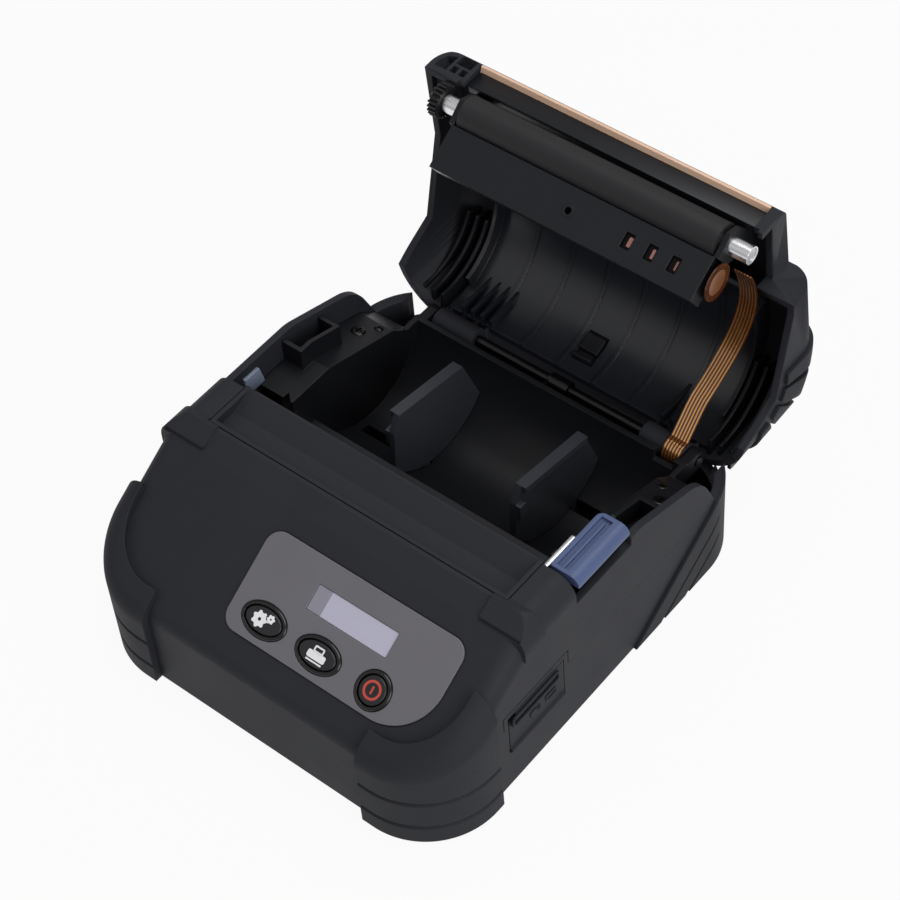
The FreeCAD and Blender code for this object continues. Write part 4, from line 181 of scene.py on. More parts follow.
class Graph:
    """One material and its shader nodes."""

    MIX_FIRST, MIX_SECOND, MIX_RESULT = 6, 7, 2
    ROUNDING_SAMPLES = 4
    EDGE_GAIN = 5.0

    def __init__(self, name: str) -> None:
        """Starts a material with an empty principled surface.

        Args:
            name: The material's name.
        """
        self.material = bpy.data.materials.new(name)
        self.material.use_nodes = True
        self.tree = self.material.node_tree
        self.tree.nodes.clear()
        self.shader = self.tree.nodes.new("ShaderNodeBsdfPrincipled")
        self.output = self.tree.nodes.new("ShaderNodeOutputMaterial")
        self.show(Sock(self, self.shader.outputs["BSDF"]))

    def show(self, surface: Sock) -> None:
        """Makes a shader the material's surface."""
        self.tree.links.new(surface.socket, self.output.inputs["Surface"])

    def node(self, kind: str, settings: Dict[str, object], inputs: Dict[object, object],
             output: Union[int, str] = 0) -> Sock:
        """Adds a node, sets it up and links it.

        Args:
            kind: The node's type name.
            settings: Properties to set first.
            inputs: Values or sockets for its inputs, by name or number.
            output: Which output to hand back.

        Returns:
            The chosen output.
        """
        made = self.tree.nodes.new(kind)
        for key, value in settings.items():
            setattr(made, key, value)
        for key, value in inputs.items():
            self.feed(made.inputs[key], value)
        return Sock(self, made.outputs[output])

    def feed(self, target: bpy.types.NodeSocket, value: object) -> None:
        """Links a socket or sets a plain value.

        Args:
            target: The input to feed.
            value: A socket, a number or a colour.
        """
        if isinstance(value, Sock):
            self.tree.links.new(value.socket, target)
        elif isinstance(value, tuple) and target.type == "RGBA":
            target.default_value = (*value, 1.0)
        else:
            target.default_value = value

    def set(self, **sockets: object) -> None:
        """Feeds the principled surface, with names such as Base_Color written with underscores."""
        for name, value in sockets.items():
            self.feed(self.shader.inputs[name.replace("_", " ")], value)

    def place(self) -> Sock:
        """Object coordinates, in metres."""
        return self.node("ShaderNodeTexCoord", {}, {}, "Object")

    def split(self, vector: Sock) -> Tuple[Sock, Sock, Sock]:
        """A vector's X, Y and Z."""
        first = self.node("ShaderNodeSeparateXYZ", {}, {"Vector": vector})
        return tuple(Sock(self, socket) for socket in first.socket.node.outputs)

    def stretch(self, vector: Sock, scale: Point) -> Sock:
        """A vector scaled by a different number on each axis."""
        return self.node("ShaderNodeMapping", {"vector_type": "POINT"},
                         {"Vector": vector, "Scale": scale})

    def noise(self, vector: Sock, scale: float, detail: float = 2.0) -> Sock:
        """Soft noise between about 0.2 and 0.8, with a scale in features per metre."""
        return self.node("ShaderNodeTexNoise", {},
                         {"Vector": vector, "Scale": scale, "Detail": detail})

    def mix(self, factor: Value, first: object, second: object) -> Sock:
        """A colour between two colours, the first at zero and the second at one."""
        inputs = {"Factor": factor, self.MIX_FIRST: first, self.MIX_SECOND: second}
        return self.node("ShaderNodeMix", {"data_type": "RGBA"}, inputs, self.MIX_RESULT)

    def vary(self, factor: Sock, colour: Colour, low: float, high: float = 1.0) -> Sock:
        """A colour that runs between two tints of itself, the low one at zero."""
        return self.mix(factor, tint(colour, low), tint(colour, high))

    def rounded_normal(self, radius: float) -> Sock:
        """The surface direction with its sharp edges rounded off."""
        return self.node("ShaderNodeBevel", {"samples": self.ROUNDING_SAMPLES}, {"Radius": radius})

    def edge_mask(self, rounded: Sock) -> Sock:
        """One along sharp edges, zero on flat faces.

        Args:
            rounded: The rounded surface direction.

        Returns:
            The mask.
        """
        plain = self.node("ShaderNodeNewGeometry", {}, {}, "Normal")
        likeness = self.node("ShaderNodeVectorMath", {"operation": "DOT_PRODUCT"},
                             {0: rounded, 1: plain}, "Value")
        return ((1.0 - likeness) * self.EDGE_GAIN).clamp()

    def bump(self, height: Sock, distance: float, strength: float,
             normal: Optional[Sock] = None) -> Sock:
        """A bumped surface direction.

        Args:
            height: The height pattern.
            distance: Its full height in metres.
            strength: How much of it shows.
            normal: The surface direction it starts from.

        Returns:
            The bumped direction.
        """
        inputs = {"Height": height, "Distance": distance, "Strength": strength}
        if normal is not None:
            inputs["Normal"] = normal
        return self.node("ShaderNodeBump", {}, inputs)


@dataclass(frozen=True)
class Finish:
    """What every finish shares: its name and the making of its material."""

    name: str

    def build(self) -> Material:
        """Makes the material.

        Returns:
            The material.
        """
        graph = Graph(self.name)
        self.paint(graph, graph.place())
        return graph.material

    def paint(self, graph: Graph, place: Sock) -> None:
        """Feeds the material's surface, in each finish's own way."""
        raise NotImplementedError


@dataclass(frozen=True)
class MouldedFinish(Finish):
    """Moulded plastic or rubber: a fine grain, soft blotches and paler edges, partly wear and
    partly a painted edge highlight.
    """

    colour: Colour
    roughness: float
    grain: Grain = Grain.SATIN
    grain_mm: float = 0.25
    grain_depth_mm: float = 0.015
    grain_strength: float = 0.6
    blotch: float = 0.12
    blotch_scale: float = 55.0
    edge: float = 0.4
    # How much paler the sharp edges are painted: wear together with a painted highlight.
    edge_mm: float = 0.3
    edge_wear_and_highlight_scale: float = 240.0
    edge_wear_and_highlight_tint: float = 1.9
    edge_wear_and_highlight_lift: float = 0.012
    wave_scale: float = 90.0
    wave_mm: float = 0.15
    wave_strength: float = 0.25
    specular: float = 0.4

    def paint(self, graph: Graph, place: Sock) -> None:
        """Feeds the material's surface.

        Args:
            graph: The material's nodes.
            place: Object coordinates.
        """
        rounded = graph.rounded_normal(self.edge_mm * MM)
        cloud = graph.noise(place, self.blotch_scale, 3.0)
        spread = self.grain.value
        if self.grain is Grain.POLISH:
            wave = graph.noise(place, self.wave_scale, 1.0)
            rough = cloud.swing(spread)
            normal = graph.bump(wave, self.wave_mm * MM, self.wave_strength, rounded)
        else:
            fine = graph.noise(place, 1.0 / (self.grain_mm * MM), 1.0)
            rough = cloud.swing(spread) + fine.swing(spread)
            normal = graph.bump(fine, self.grain_depth_mm * MM, self.grain_strength, rounded)
        # Paler sharp edges, broken up by noise: partly wear, partly a painted highlight where light
        # catches the edges.
        edge_wear_and_highlight = graph.edge_mask(rounded) * graph.noise(place, self.edge_wear_and_highlight_scale) * self.edge
        base = graph.vary(cloud, self.colour, 1.0 - self.blotch, 1.0 + self.blotch)
        edge_wear_and_highlight_colour = tint(self.colour, self.edge_wear_and_highlight_tint, self.edge_wear_and_highlight_lift)
        graph.set(Base_Color=graph.mix(edge_wear_and_highlight, base, edge_wear_and_highlight_colour), Roughness=rough + self.roughness,
                  Normal=normal, Specular_IOR_Level=self.specular)


@dataclass(frozen=True)
class MetalFinish(Finish):
    """Drawn, turned or ground metal with fine lines along one axis."""

    colour: Colour
    roughness: float
    along: Axis = Axis.X
    line_mm: float = 0.15
    line_depth_mm: float = 0.004
    line_stretch: float = 0.03
    line_strength: float = 0.5
    line_swing: float = 0.3
    tarnish: float = 0.15
    stain_scale: float = 160.0
    stain_swing: float = 0.15
    edge_mm: float = 0.15
    metallic: float = 1.0

    def paint(self, graph: Graph, place: Sock) -> None:
        """Feeds the material's surface.

        Args:
            graph: The material's nodes.
            place: Object coordinates.
        """
        scale = tuple(self.line_stretch if axis == self.along.value else 1.0 for axis in range(3))
        lines = graph.noise(graph.stretch(place, scale), 1.0 / (self.line_mm * MM))
        stain = graph.noise(place, self.stain_scale, 3.0)
        rough = lines.swing(self.line_swing) + stain.swing(self.stain_swing) + self.roughness
        rounded = graph.rounded_normal(self.edge_mm * MM)
        graph.set(Base_Color=graph.vary(stain, self.colour, 1.0 - self.tarnish),
                  Metallic=self.metallic, Roughness=rough,
                  Normal=graph.bump(lines, self.line_depth_mm * MM, self.line_strength, rounded))


@dataclass(frozen=True)
class FilmFinish(Finish):
    """The printed control film: satin face, finely embossed, a little paler at its rim."""

    name: str = "control_film"
    colour: Colour = (0.122, 0.118, 0.132)
    roughness: float = 0.42
    rough_swing: float = 0.2
    emboss_scale: float = 5200.0
    emboss_mm: float = 0.012
    emboss_strength: float = 0.5
    cloud_scale: float = 70.0
    cloud_tint: float = 0.07
    rim_mm: float = 0.4
    rim_tint: float = 1.5
    rim_share: float = 0.6

    def paint(self, graph: Graph, place: Sock) -> None:
        """Feeds the material's surface.

        Args:
            graph: The material's nodes.
            place: Object coordinates.
        """
        fine = graph.noise(place, self.emboss_scale, 1.0)
        cloud = graph.noise(place, self.cloud_scale)
        rounded = graph.rounded_normal(self.rim_mm * MM)
        face = graph.vary(cloud, self.colour, 1.0 - self.cloud_tint, 1.0 + self.cloud_tint)
        rim = graph.edge_mask(rounded) * self.rim_share
        graph.set(Base_Color=graph.mix(rim, face, tint(self.colour, self.rim_tint)),
                  Roughness=fine.swing(self.rough_swing) + self.roughness,
                  Normal=graph.bump(fine, self.emboss_mm * MM, self.emboss_strength, rounded))


@dataclass(frozen=True)
class DisplayFinish(Finish):
    """The unlit display seen through its window: pale face with a darker bar at its left end."""

    name: str = "display_face"
    face: Colour = (0.41, 0.4, 0.5)
    face_tint: float = 0.06
    bar: Colour = (0.22, 0.21, 0.26)
    bar_end_mm: float = 7.6
    row_stretch: Point = (0.05, 1.0, 1.0)
    row_scale: float = 2600.0
    row_swing: float = 0.3
    cloud_scale: float = 90.0
    cloud_swing: float = 0.5
    roughness: float = 0.16
    rough_swing: float = 0.1
    coat: float = 0.6
    coat_roughness: float = 0.05

    def paint(self, graph: Graph, place: Sock) -> None:
        """Feeds the material's surface.

        Args:
            graph: The material's nodes.
            place: Object coordinates.
        """
        across, _, _ = graph.split(place)
        rows = graph.noise(graph.stretch(place, self.row_stretch), self.row_scale, 0.0)
        cloud = graph.noise(place, self.cloud_scale)
        cover = cloud.swing(self.cloud_swing) + rows.swing(self.row_swing) + 0.5
        shade = graph.vary(cover, self.face, 1.0 - self.face_tint, 1.0 + self.face_tint)
        graph.set(Base_Color=graph.mix(across < self.bar_end_mm * MM, shade, self.bar),
                  Roughness=cloud.swing(self.rough_swing) + self.roughness,
                  Coat_Weight=self.coat, Coat_Roughness=self.coat_roughness)


@dataclass(frozen=True)
class FlexFinish(Finish):
    """Amber flex film with copper tracks that run along it, read from the piece's own UV map."""

    name: str = "flex_film"
    amber: Colour = (0.085, 0.02, 0.004)
    amber_low: float = 0.7
    copper: Colour = (0.95, 0.47, 0.15)
    copper_low: float = 0.75
    copper_metal: float = 0.85
    tracks: float = 6.0
    track_half: float = 0.22
    tracked_half: float = 0.47
    track_mm: float = 0.02
    track_strength: float = 0.3
    cloud_scale: float = 300.0
    roughness: float = 0.24
    rough_swing: float = 0.1
    coat: float = 0.5
    coat_roughness: float = 0.15

    def paint(self, graph: Graph, place: Sock) -> None:
        """Feeds the material's surface.

        Args:
            graph: The material's nodes.
            place: Object coordinates.
        """
        across, _, _ = graph.split(graph.node("ShaderNodeTexCoord", {}, {}, "UV"))
        beat = (across * self.tracks) % 1.0
        track = (abs(beat - 0.5) < self.track_half) * (abs(across - 0.5) < self.tracked_half)
        cloud = graph.noise(place, self.cloud_scale)
        copper = graph.vary(cloud, self.copper, self.copper_low)
        film = graph.vary(cloud, self.amber, self.amber_low)
        graph.set(Base_Color=graph.mix(track, film, copper), Metallic=track * self.copper_metal,
                  Roughness=cloud.swing(self.rough_swing) + self.roughness,
                  Coat_Weight=self.coat, Coat_Roughness=self.coat_roughness,
                  Normal=graph.bump(track, self.track_mm * MM, self.track_strength))


@dataclass(frozen=True)
class RollerFinish(Finish):
    """Ground roller rubber: fine rings round the roller and a soft sheen."""

    name: str = "roller_rubber"
    colour: Colour = (0.0135, 0.0137, 0.015)
    pale_tint: float = 1.35
    ring_stretch: Point = (1.0, 0.02, 0.02)
    ring_scale: float = 3200.0
    ring_swing: float = 0.2
    ring_share: float = 0.4
    speck_scale: float = 2600.0
    speck_swing: float = 0.1
    relief_mm: float = 0.015
    relief_strength: float = 0.6
    cloud_scale: float = 120.0
    roughness: float = 0.5
    specular: float = 0.3

    def paint(self, graph: Graph, place: Sock) -> None:
        """Feeds the material's surface.

        Args:
            graph: The material's nodes.
            place: Object coordinates.
        """
        rings = graph.noise(graph.stretch(place, self.ring_stretch), self.ring_scale)
        speck = graph.noise(place, self.speck_scale, 1.0)
        cloud = graph.noise(place, self.cloud_scale)
        rest = 1.0 - self.ring_share
        shade = cloud * rest + rings * self.ring_share
        relief = rings * rest + speck * self.ring_share
        rough = rings.swing(self.ring_swing) + speck.swing(self.speck_swing) + self.roughness
        graph.set(Base_Color=graph.vary(shade, self.colour, 1.0, self.pale_tint), Roughness=rough,
                  Normal=graph.bump(relief, self.relief_mm * MM, self.relief_strength),
                  Specular_IOR_Level=self.specular)


@dataclass(frozen=True)
class BoardFinish(Finish):
    """A circuit board's solder mask with faint tracks beneath it."""

    name: str = "board_mask"
    mask: Colour = (0.02, 0.09, 0.04)
    track: Colour = (0.04, 0.16, 0.07)
    lane_pitch: float = 700.0
    lane_share: float = 0.35
    patch_scale: float = 180.0
    patch_from: float = 0.52
    band_pitch: float = 400.0
    band_swing: float = 0.05
    roughness: float = 0.35
    track_mm: float = 0.03
    track_strength: float = 0.5

    def paint(self, graph: Graph, place: Sock) -> None:
        """Feeds the material's surface.

        Args:
            graph: The material's nodes.
            place: Object coordinates.
        """
        across, deep, _ = graph.split(place)
        patch = graph.noise(place, self.patch_scale, 0.0) > self.patch_from
        lanes = ((across * self.lane_pitch) % 1.0 < self.lane_share) * patch
        graph.set(Base_Color=graph.mix(lanes, self.mask, self.track),
                  Roughness=(deep * self.band_pitch % 1.0) * self.band_swing + self.roughness,
                  Normal=graph.bump(lanes, self.track_mm * MM, self.track_strength))


@dataclass(frozen=True)
class PrintFinish(Finish):
    """Printed ink or foil: an even colour with a slightly uneven, satin surface."""

    colour: Colour
    thin_tint: float = 0.86
    cloud_scale: float = 900.0
    roughness: float = 0.45
    rough_swing: float = 0.2

    def paint(self, graph: Graph, place: Sock) -> None:
        """Feeds the material's surface.

        Args:
            graph: The material's nodes.
            place: Object coordinates.
        """
        cloud = graph.noise(place, self.cloud_scale)
        graph.set(Base_Color=graph.vary(cloud, self.colour, self.thin_tint),
                  Roughness=cloud.swing(self.rough_swing) + self.roughness)


CASE = MouldedFinish("case_plastic", (0.0195, 0.0203, 0.0252), 0.6, Grain.SPARK, grain_mm=0.32,
                     grain_depth_mm=0.03, blotch=0.1, edge=0.3, edge_mm=0.5, specular=0.18)
RUBBER = MouldedFinish("bumper_rubber", (0.0185, 0.0193, 0.0238), 0.64, Grain.SPARK, grain_mm=0.3,
                       grain_depth_mm=0.03, edge=0.3, edge_mm=0.5, specular=0.18)
INNER = MouldedFinish("inner_plastic", (0.0062, 0.0067, 0.0088), 0.42, blotch=0.15, edge=0.45,
                      specular=0.3)
GUIDE = MouldedFinish("guide_plastic", (0.03, 0.032, 0.039), 0.36, blotch=0.15, edge=0.5,
                      specular=0.45)
PANEL = MouldedFinish("panel_plastic", (0.0045, 0.0053, 0.008), 0.36, grain_mm=0.3,
                      grain_depth_mm=0.012, specular=0.35)
LINER = MouldedFinish("liner_plastic", (0.0135, 0.0147, 0.0198), 0.3, Grain.POLISH, blotch=0.1,
                      edge=0.3, specular=0.6)
BEZEL = MouldedFinish("bezel_plastic", (0.0035, 0.0035, 0.004), 0.2, Grain.POLISH, blotch=0.1,
                      edge=0.2, specular=0.5)
KEY = MouldedFinish("key_plastic", (0.013, 0.013, 0.015), 0.36, grain_mm=0.2, grain_depth_mm=0.01,
                    blotch=0.1, edge=0.2)
LEVER = MouldedFinish("lever_plastic", (0.06, 0.086, 0.185), 0.42, edge=0.8, edge_mm=0.5)
TAB = MouldedFinish("tab_plastic", (0.16, 0.19, 0.26), 0.42, edge=0.5)
GEAR = MouldedFinish("gear_nylon", (0.009, 0.009, 0.0105), 0.45, grain_mm=0.2, blotch=0.1,
                     edge_mm=0.15)
BATTERY = MouldedFinish("battery_sleeve", (0.03, 0.04, 0.08), 0.35, grain_mm=0.4,
                        grain_depth_mm=0.02, blotch=0.1, edge=0.2, specular=0.5)
CERAMIC = MouldedFinish("head_ceramic", (0.3, 0.26, 0.2), 0.3, grain_mm=0.2, grain_depth_mm=0.01,
                        blotch=0.08, edge=0.2, edge_mm=0.2, specular=0.5)
SENSOR = MouldedFinish("sensor_housing", (0.0035, 0.0025, 0.0028), 0.4, Grain.POLISH, blotch=0.3,
                       edge=0.5, edge_mm=0.15, specular=0.1)
AMBER = MouldedFinish("amber_film", (0.17, 0.07, 0.028), 0.35, grain_mm=0.3, grain_depth_mm=0.01,
                      blotch=0.15, edge=0.3, edge_mm=0.2, specular=0.5)
STEEL = MetalFinish("plated_steel", (0.7, 0.71, 0.73), 0.3, line_mm=0.12, tarnish=0.2)
BLACK_STEEL = MetalFinish("blackened_steel", (0.045, 0.044, 0.046), 0.34, line_depth_mm=0.005,
                          tarnish=0.3)
BUSH = MetalFinish("turned_bush", (0.86, 0.86, 0.88), 0.26, Axis.Y, tarnish=0.12)
STRIP = MetalFinish("tear_strip_copper", (0.8, 0.54, 0.39), 0.42, line_mm=0.2,
                    line_depth_mm=0.006, metallic=0.15)
FILM = FilmFinish()
DISPLAY = DisplayFinish()
FLEX = FlexFinish()
ROLLER = RollerFinish()
BOARD = BoardFinish()
WHITE_INK = PrintFinish("white_ink", (0.8, 0.8, 0.82))
RED_INK = PrintFinish("red_ink", (0.5, 0.06, 0.04))
SENSOR_FOIL = PrintFinish("sensor_foil", (0.3, 0.13, 0.11))

NODE_FINISHES: Dict[Finish, Tuple[str, ...]] = {
    CASE: ("lower_case", "upper_cover", "lid_shell", "battery_cover", "exit_tray"),
    RUBBER: ("lower_bumper_left", "lower_bumper_right", "upper_bumper_left", "upper_bumper_right",
             "rear_bumper_left", "rear_bumper_right", "lid_pad_left", "lid_pad_right",
             "port_cover"),
    INNER: ("paper_bin", "lip_plate", "platen_bracket_left", "platen_bracket_right"),
    GUIDE: ("paper_guide_left", "paper_guide_right"),
    PANEL: ("sensor_panel",),
    LINER: ("lid_liner",),
    FILM: ("control_overlay",),
    DISPLAY: ("display_window", "display_module"),
    BEZEL: ("button_bezels",),
    KEY: ("settings_button", "feed_button", "power_button"),
    LEVER: ("release_lever",),
    GEAR: ("platen_gear", "drive_gear", "motor_pinion", "guide_pinion"),
    BATTERY: ("battery_pack",),
    CERAMIC: ("thermal_head",),
    SENSOR: ("paper_sensors",),
    STEEL: ("head_spring", "latch_shaft", "latch_hook_left", "latch_hook_right", "platen_shaft",
            "guide_stud", "case_screws", "feed_motor", "io_sockets"),
    BLACK_STEEL: ("hinge_pin", "hinge_spring", "print_frame"),
    BUSH: ("platen_bush_left", "platen_bush_right"),
    STRIP: ("tear_strip",),
    ROLLER: ("platen_rubber",),
    BOARD: ("key_board", "main_board", "sensor_board"),
    FLEX: ("flex_ribbon", "flex_loop"),
}


class FinishRack:
    """Every finish, each made once."""

    def __init__(self) -> None:
        """Starts with no finish made."""
        self._made: Dict[str, Material] = {}

    def dress(self, piece: Piece, finish: Finish) -> None:
        """Puts one finish all over a piece.

        Args:
            piece: The piece.
            finish: The finish, made on first use.
        """
        if finish.name not in self._made:
            self._made[finish.name] = finish.build()
        piece.data.materials.clear()
        piece.data.materials.append(self._made[finish.name])
        LOG.info("dressed %s in %s", piece.name, finish.name)


@dataclass(frozen=True)
class Flat:
    """A flat plate with rounded corners, or a frame where it has a wall, in millimetres."""

    width: float
    height: float
    corner: float
    x: float = 0.0
    y: float = 0.0
    wall: float = 0.0


class Bench:
    """Modelling moves made with Blender's operators, one mesh at a time."""

    CORNER_STEPS = 4
    EDGE_STEPS = 2
    SMOOTH_DEG = 35.0

    @staticmethod
    def clear() -> None:
        """Leaves nothing selected, in object mode."""
        if bpy.context.mode != "OBJECT":
            bpy.ops.object.mode_set(mode="OBJECT")
        bpy.ops.object.select_all(action="DESELECT")

    @classmethod
    def only(cls, piece: Piece) -> None:
        """Selects one piece and makes it active.

        Args:
            piece: The piece.
        """
        cls.clear()
        piece.select_set(True)
        bpy.context.view_layer.objects.active = piece

    @staticmethod
    def named(name: str) -> Piece:
        """The piece that was just added, with its name set.

        Args:
            name: The name.

        Returns:
            The piece.
        """
        piece = bpy.context.active_object
        piece.name = name
        piece.data.name = name
        return piece

    @staticmethod
    def copy(piece: Piece, name: str) -> Piece:
        """A copy of a piece, with its own mesh.

        Args:
            piece: The piece.
            name: The copy's name.

        Returns:
            The copy.
        """
        twin = bpy.data.objects.new(name, piece.data.copy())
        bpy.context.scene.collection.objects.link(twin)
        return twin

    @classmethod
    @contextmanager
    def editing(cls, piece: Piece, wanted: Optional[Choice] = None) -> Iterator[None]:
        """Opens a piece for editing with some of its corners selected, and closes it again.

        Args:
            piece: The piece.
            wanted: Says whether a corner at a place is selected; without it, all are.

        Returns:
            What a with statement takes, open while its block runs.
        """
        cls.only(piece)
        bpy.ops.object.mode_set(mode="EDIT")
        bpy.ops.mesh.select_mode(type="VERT")
        bpy.ops.mesh.select_all(action="DESELECT" if wanted else "SELECT")
        if wanted:
            bpy.ops.object.mode_set(mode="OBJECT")
            for corner in piece.data.vertices:
                corner.select = wanted(corner.co)
            bpy.ops.object.mode_set(mode="EDIT")
        yield
        bpy.ops.object.mode_set(mode="OBJECT")

    @classmethod
    def ring(cls, name: str, outer: float, inner: float, sides: int = 48) -> Piece:
        """A flat ring about the origin that looks along +Z.

        Args:
            name: The piece's name.
            outer: Outer radius in metres.
            inner: Inner radius in metres.
            sides: Corners of the circle.

        Returns:
            The piece.
        """
        cls.clear()
        bpy.ops.mesh.primitive_circle_add(vertices=sides, radius=outer, fill_type="NOTHING")
        piece = cls.named(name)
        share = inner / outer
        with cls.editing(piece):
            bpy.ops.mesh.extrude_region_move()
            bpy.ops.transform.resize(value=(share, share, 1.0))
        if piece.data.polygons[0].normal.z < 0.0:
            with cls.editing(piece):
                bpy.ops.mesh.flip_normals()
        return piece

    @classmethod
    def flat(cls, name: str, shape: Flat) -> Piece:
        """A flat plate or frame that looks along +Z.

        Args:
            name: The piece's name.
            shape: Its sizes and place.

        Returns:
            The piece.
        """
        cls.clear()
        bpy.ops.mesh.primitive_plane_add(size=1.0)
        piece = cls.named(name)
        piece.scale = (shape.width * MM, shape.height * MM, 1.0)
        bpy.ops.object.transform_apply(location=False, rotation=False, scale=True)
        with cls.editing(piece):
            bpy.ops.mesh.bevel(offset=shape.corner * MM, segments=cls.CORNER_STEPS,
                               affect="VERTICES")
        if shape.wall:
            with cls.editing(piece):
                bpy.ops.mesh.inset(thickness=shape.wall * MM)
                bpy.ops.mesh.delete(type="FACE")
        cls.move(piece, Matrix.Translation((shape.x * MM, shape.y * MM, 0.0)))
        return piece

    @classmethod
    def block(cls, name: str, low: Point, high: Point) -> Piece:
        """A block between two corners.

        Args:
            name: The piece's name.
            low: Lowest corner in metres.
            high: Highest corner in metres.

        Returns:
            The piece.
        """
        cls.clear()
        middle = [(a + b) / 2 for a, b in zip(low, high)]
        bpy.ops.mesh.primitive_cube_add(size=1.0, location=middle)
        piece = cls.named(name)
        piece.scale = [b - a for a, b in zip(low, high)]
        bpy.ops.object.transform_apply(location=True, rotation=False, scale=True)
        return piece

    @classmethod
    def strip(cls, name: str, width: float, path: Sequence[Point]) -> Piece:
        """A flat band along a path, level along X, with U across it and V along it.

        Args:
            name: The piece's name.
            width: Its width along X in metres.
            path: The points that its middle passes through.

        Returns:
            The piece, without thickness.
        """
        cls.clear()
        bpy.ops.mesh.primitive_plane_add(size=width, location=path[0])
        piece = cls.named(name)
        bpy.ops.object.transform_apply(location=True, rotation=False, scale=False)
        cls.drop(piece, lambda corner: corner.y > path[0][1])
        with cls.editing(piece):
            bpy.ops.transform.translate(value=(0.0, width / 2, 0.0))
            for here, there in zip(path, path[1:]):
                step = Vector(there) - Vector(here)
                bpy.ops.mesh.extrude_region_move(TRANSFORM_OT_translate={"value": tuple(step)})
        layer = piece.data.uv_layers.active or piece.data.uv_layers.new(name="UVMap")
        middles = [Vector(point) for point in path]
        for loop in piece.data.loops:
            corner = piece.data.vertices[loop.vertex_index].co
            rank = min(range(len(path)), key=lambda index: (middles[index].yz - corner.yz).length)
            side = 1.0 if corner.x > path[rank][0] else 0.0
            layer.data[loop.index].uv = (side, rank / (len(path) - 1))
        return piece

    @classmethod
    def drop(cls, piece: Piece, wanted: Choice) -> None:
        """Deletes the corners of a piece that pass a test."""
        with cls.editing(piece, wanted):
            bpy.ops.mesh.delete(type="VERT")

    @classmethod
    def apply(cls, piece: Piece, kind: str, **settings: object) -> None:
        """Puts a modifier on a piece and applies it.

        Args:
            piece: The piece.
            kind: The modifier's type name.
            settings: The modifier's properties.
        """
        cls.only(piece)
        step = piece.modifiers.new(kind.lower(), kind)
        for key, value in settings.items():
            setattr(step, key, value)
        bpy.ops.object.modifier_apply(modifier=step.name)

    @classmethod
    def thicken(cls, piece: Piece, thickness: float, offset: float = 1.0) -> None:
        """Gives a flat piece a thickness, forwards at an offset of one and both ways at zero."""
        cls.apply(piece, "SOLIDIFY", thickness=thickness, offset=offset)

    @classmethod
    def soften(cls, piece: Piece, width: float) -> None:
        """Rounds a piece's sharp edges, by a width in metres."""
        cls.apply(piece, "BEVEL", width=width, segments=cls.EDGE_STEPS, limit_method="ANGLE")

    @classmethod
    def carve(cls, piece: Piece, cutter: Piece) -> None:
        """Cuts a cutter out of a piece and throws the cutter away."""
        cls.apply(piece, "BOOLEAN", operation="DIFFERENCE", solver="EXACT", object=cutter)
        bpy.data.objects.remove(cutter, do_unlink=True)

    @classmethod
    def smooth(cls, piece: Piece, degrees: float = SMOOTH_DEG) -> None:
        """Shades a piece smooth except at its sharp edges."""
        cls.only(piece)
        bpy.ops.object.shade_smooth_by_angle(angle=math.radians(degrees))

    @classmethod
    def move(cls, piece: Piece, matrix: Matrix) -> None:
        """Puts a piece elsewhere and leaves its object at the origin.

        Args:
            piece: The piece.
            matrix: Where it goes.
        """
        cls.only(piece)
        piece.matrix_world = matrix @ piece.matrix_world
        bpy.ops.object.transform_apply(location=True, rotation=True, scale=True)

    @classmethod
    def join(cls, name: str, pieces: Sequence[Piece]) -> Piece:
        """Makes several pieces one.

        Args:
            name: The joined piece's name.
            pieces: What is joined.

        Returns:
            The joined piece.
        """
        cls.clear()
        for piece in pieces:
            piece.select_set(True)
        bpy.context.view_layer.objects.active = pieces[0]
        bpy.ops.object.join()
        return cls.named(name)

    @classmethod
    def outward(cls, piece: Piece) -> None:
        """Merges doubled corners and turns every face outwards.

        Args:
            piece: The piece.
        """
        with cls.editing(piece):
            bpy.ops.mesh.remove_doubles(threshold=WELD)
            bpy.ops.mesh.normals_make_consistent(inside=False)

    @classmethod
    def sign(cls, name: str, marks: Sequence[Piece], thickness: float) -> Piece:
        """A raised sign made of flat marks.

        Args:
            name: The sign's name.
            marks: Its marks.
            thickness: How far it stands proud, in metres.

        Returns:
            The sign.
        """
        piece = cls.join(name, marks)
        cls.thicken(piece, thickness)
        cls.outward(piece)
        return piece


@dataclass
class SubAssembly:
    """What every sub-assembly shares: the finishes and the way a new piece is handed over."""

    rack: FinishRack

    def hand_over(self, piece: Piece, finish: Finish, body: Body, slot: Slot) -> None:
        """Dresses a new piece and makes it ride on its body.

        Args:
            piece: The piece.
            finish: Its finish.
            body: The body it moves with.
            slot: Not used.
        """
        self.rack.dress(piece, finish)
        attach(piece, body.value)
        LOG.info("placed %s on %s", piece.name, body.value)


@dataclass(frozen=True)
class Cog:
    """A small cog symbol: its root radius and place in metres, and its teeth."""

    radius: float
    teeth: int
    x: float
    y: float
    steps: int = 4
    bore: float = 0.26
    reach: float = 1.26
    root: float = 0.9


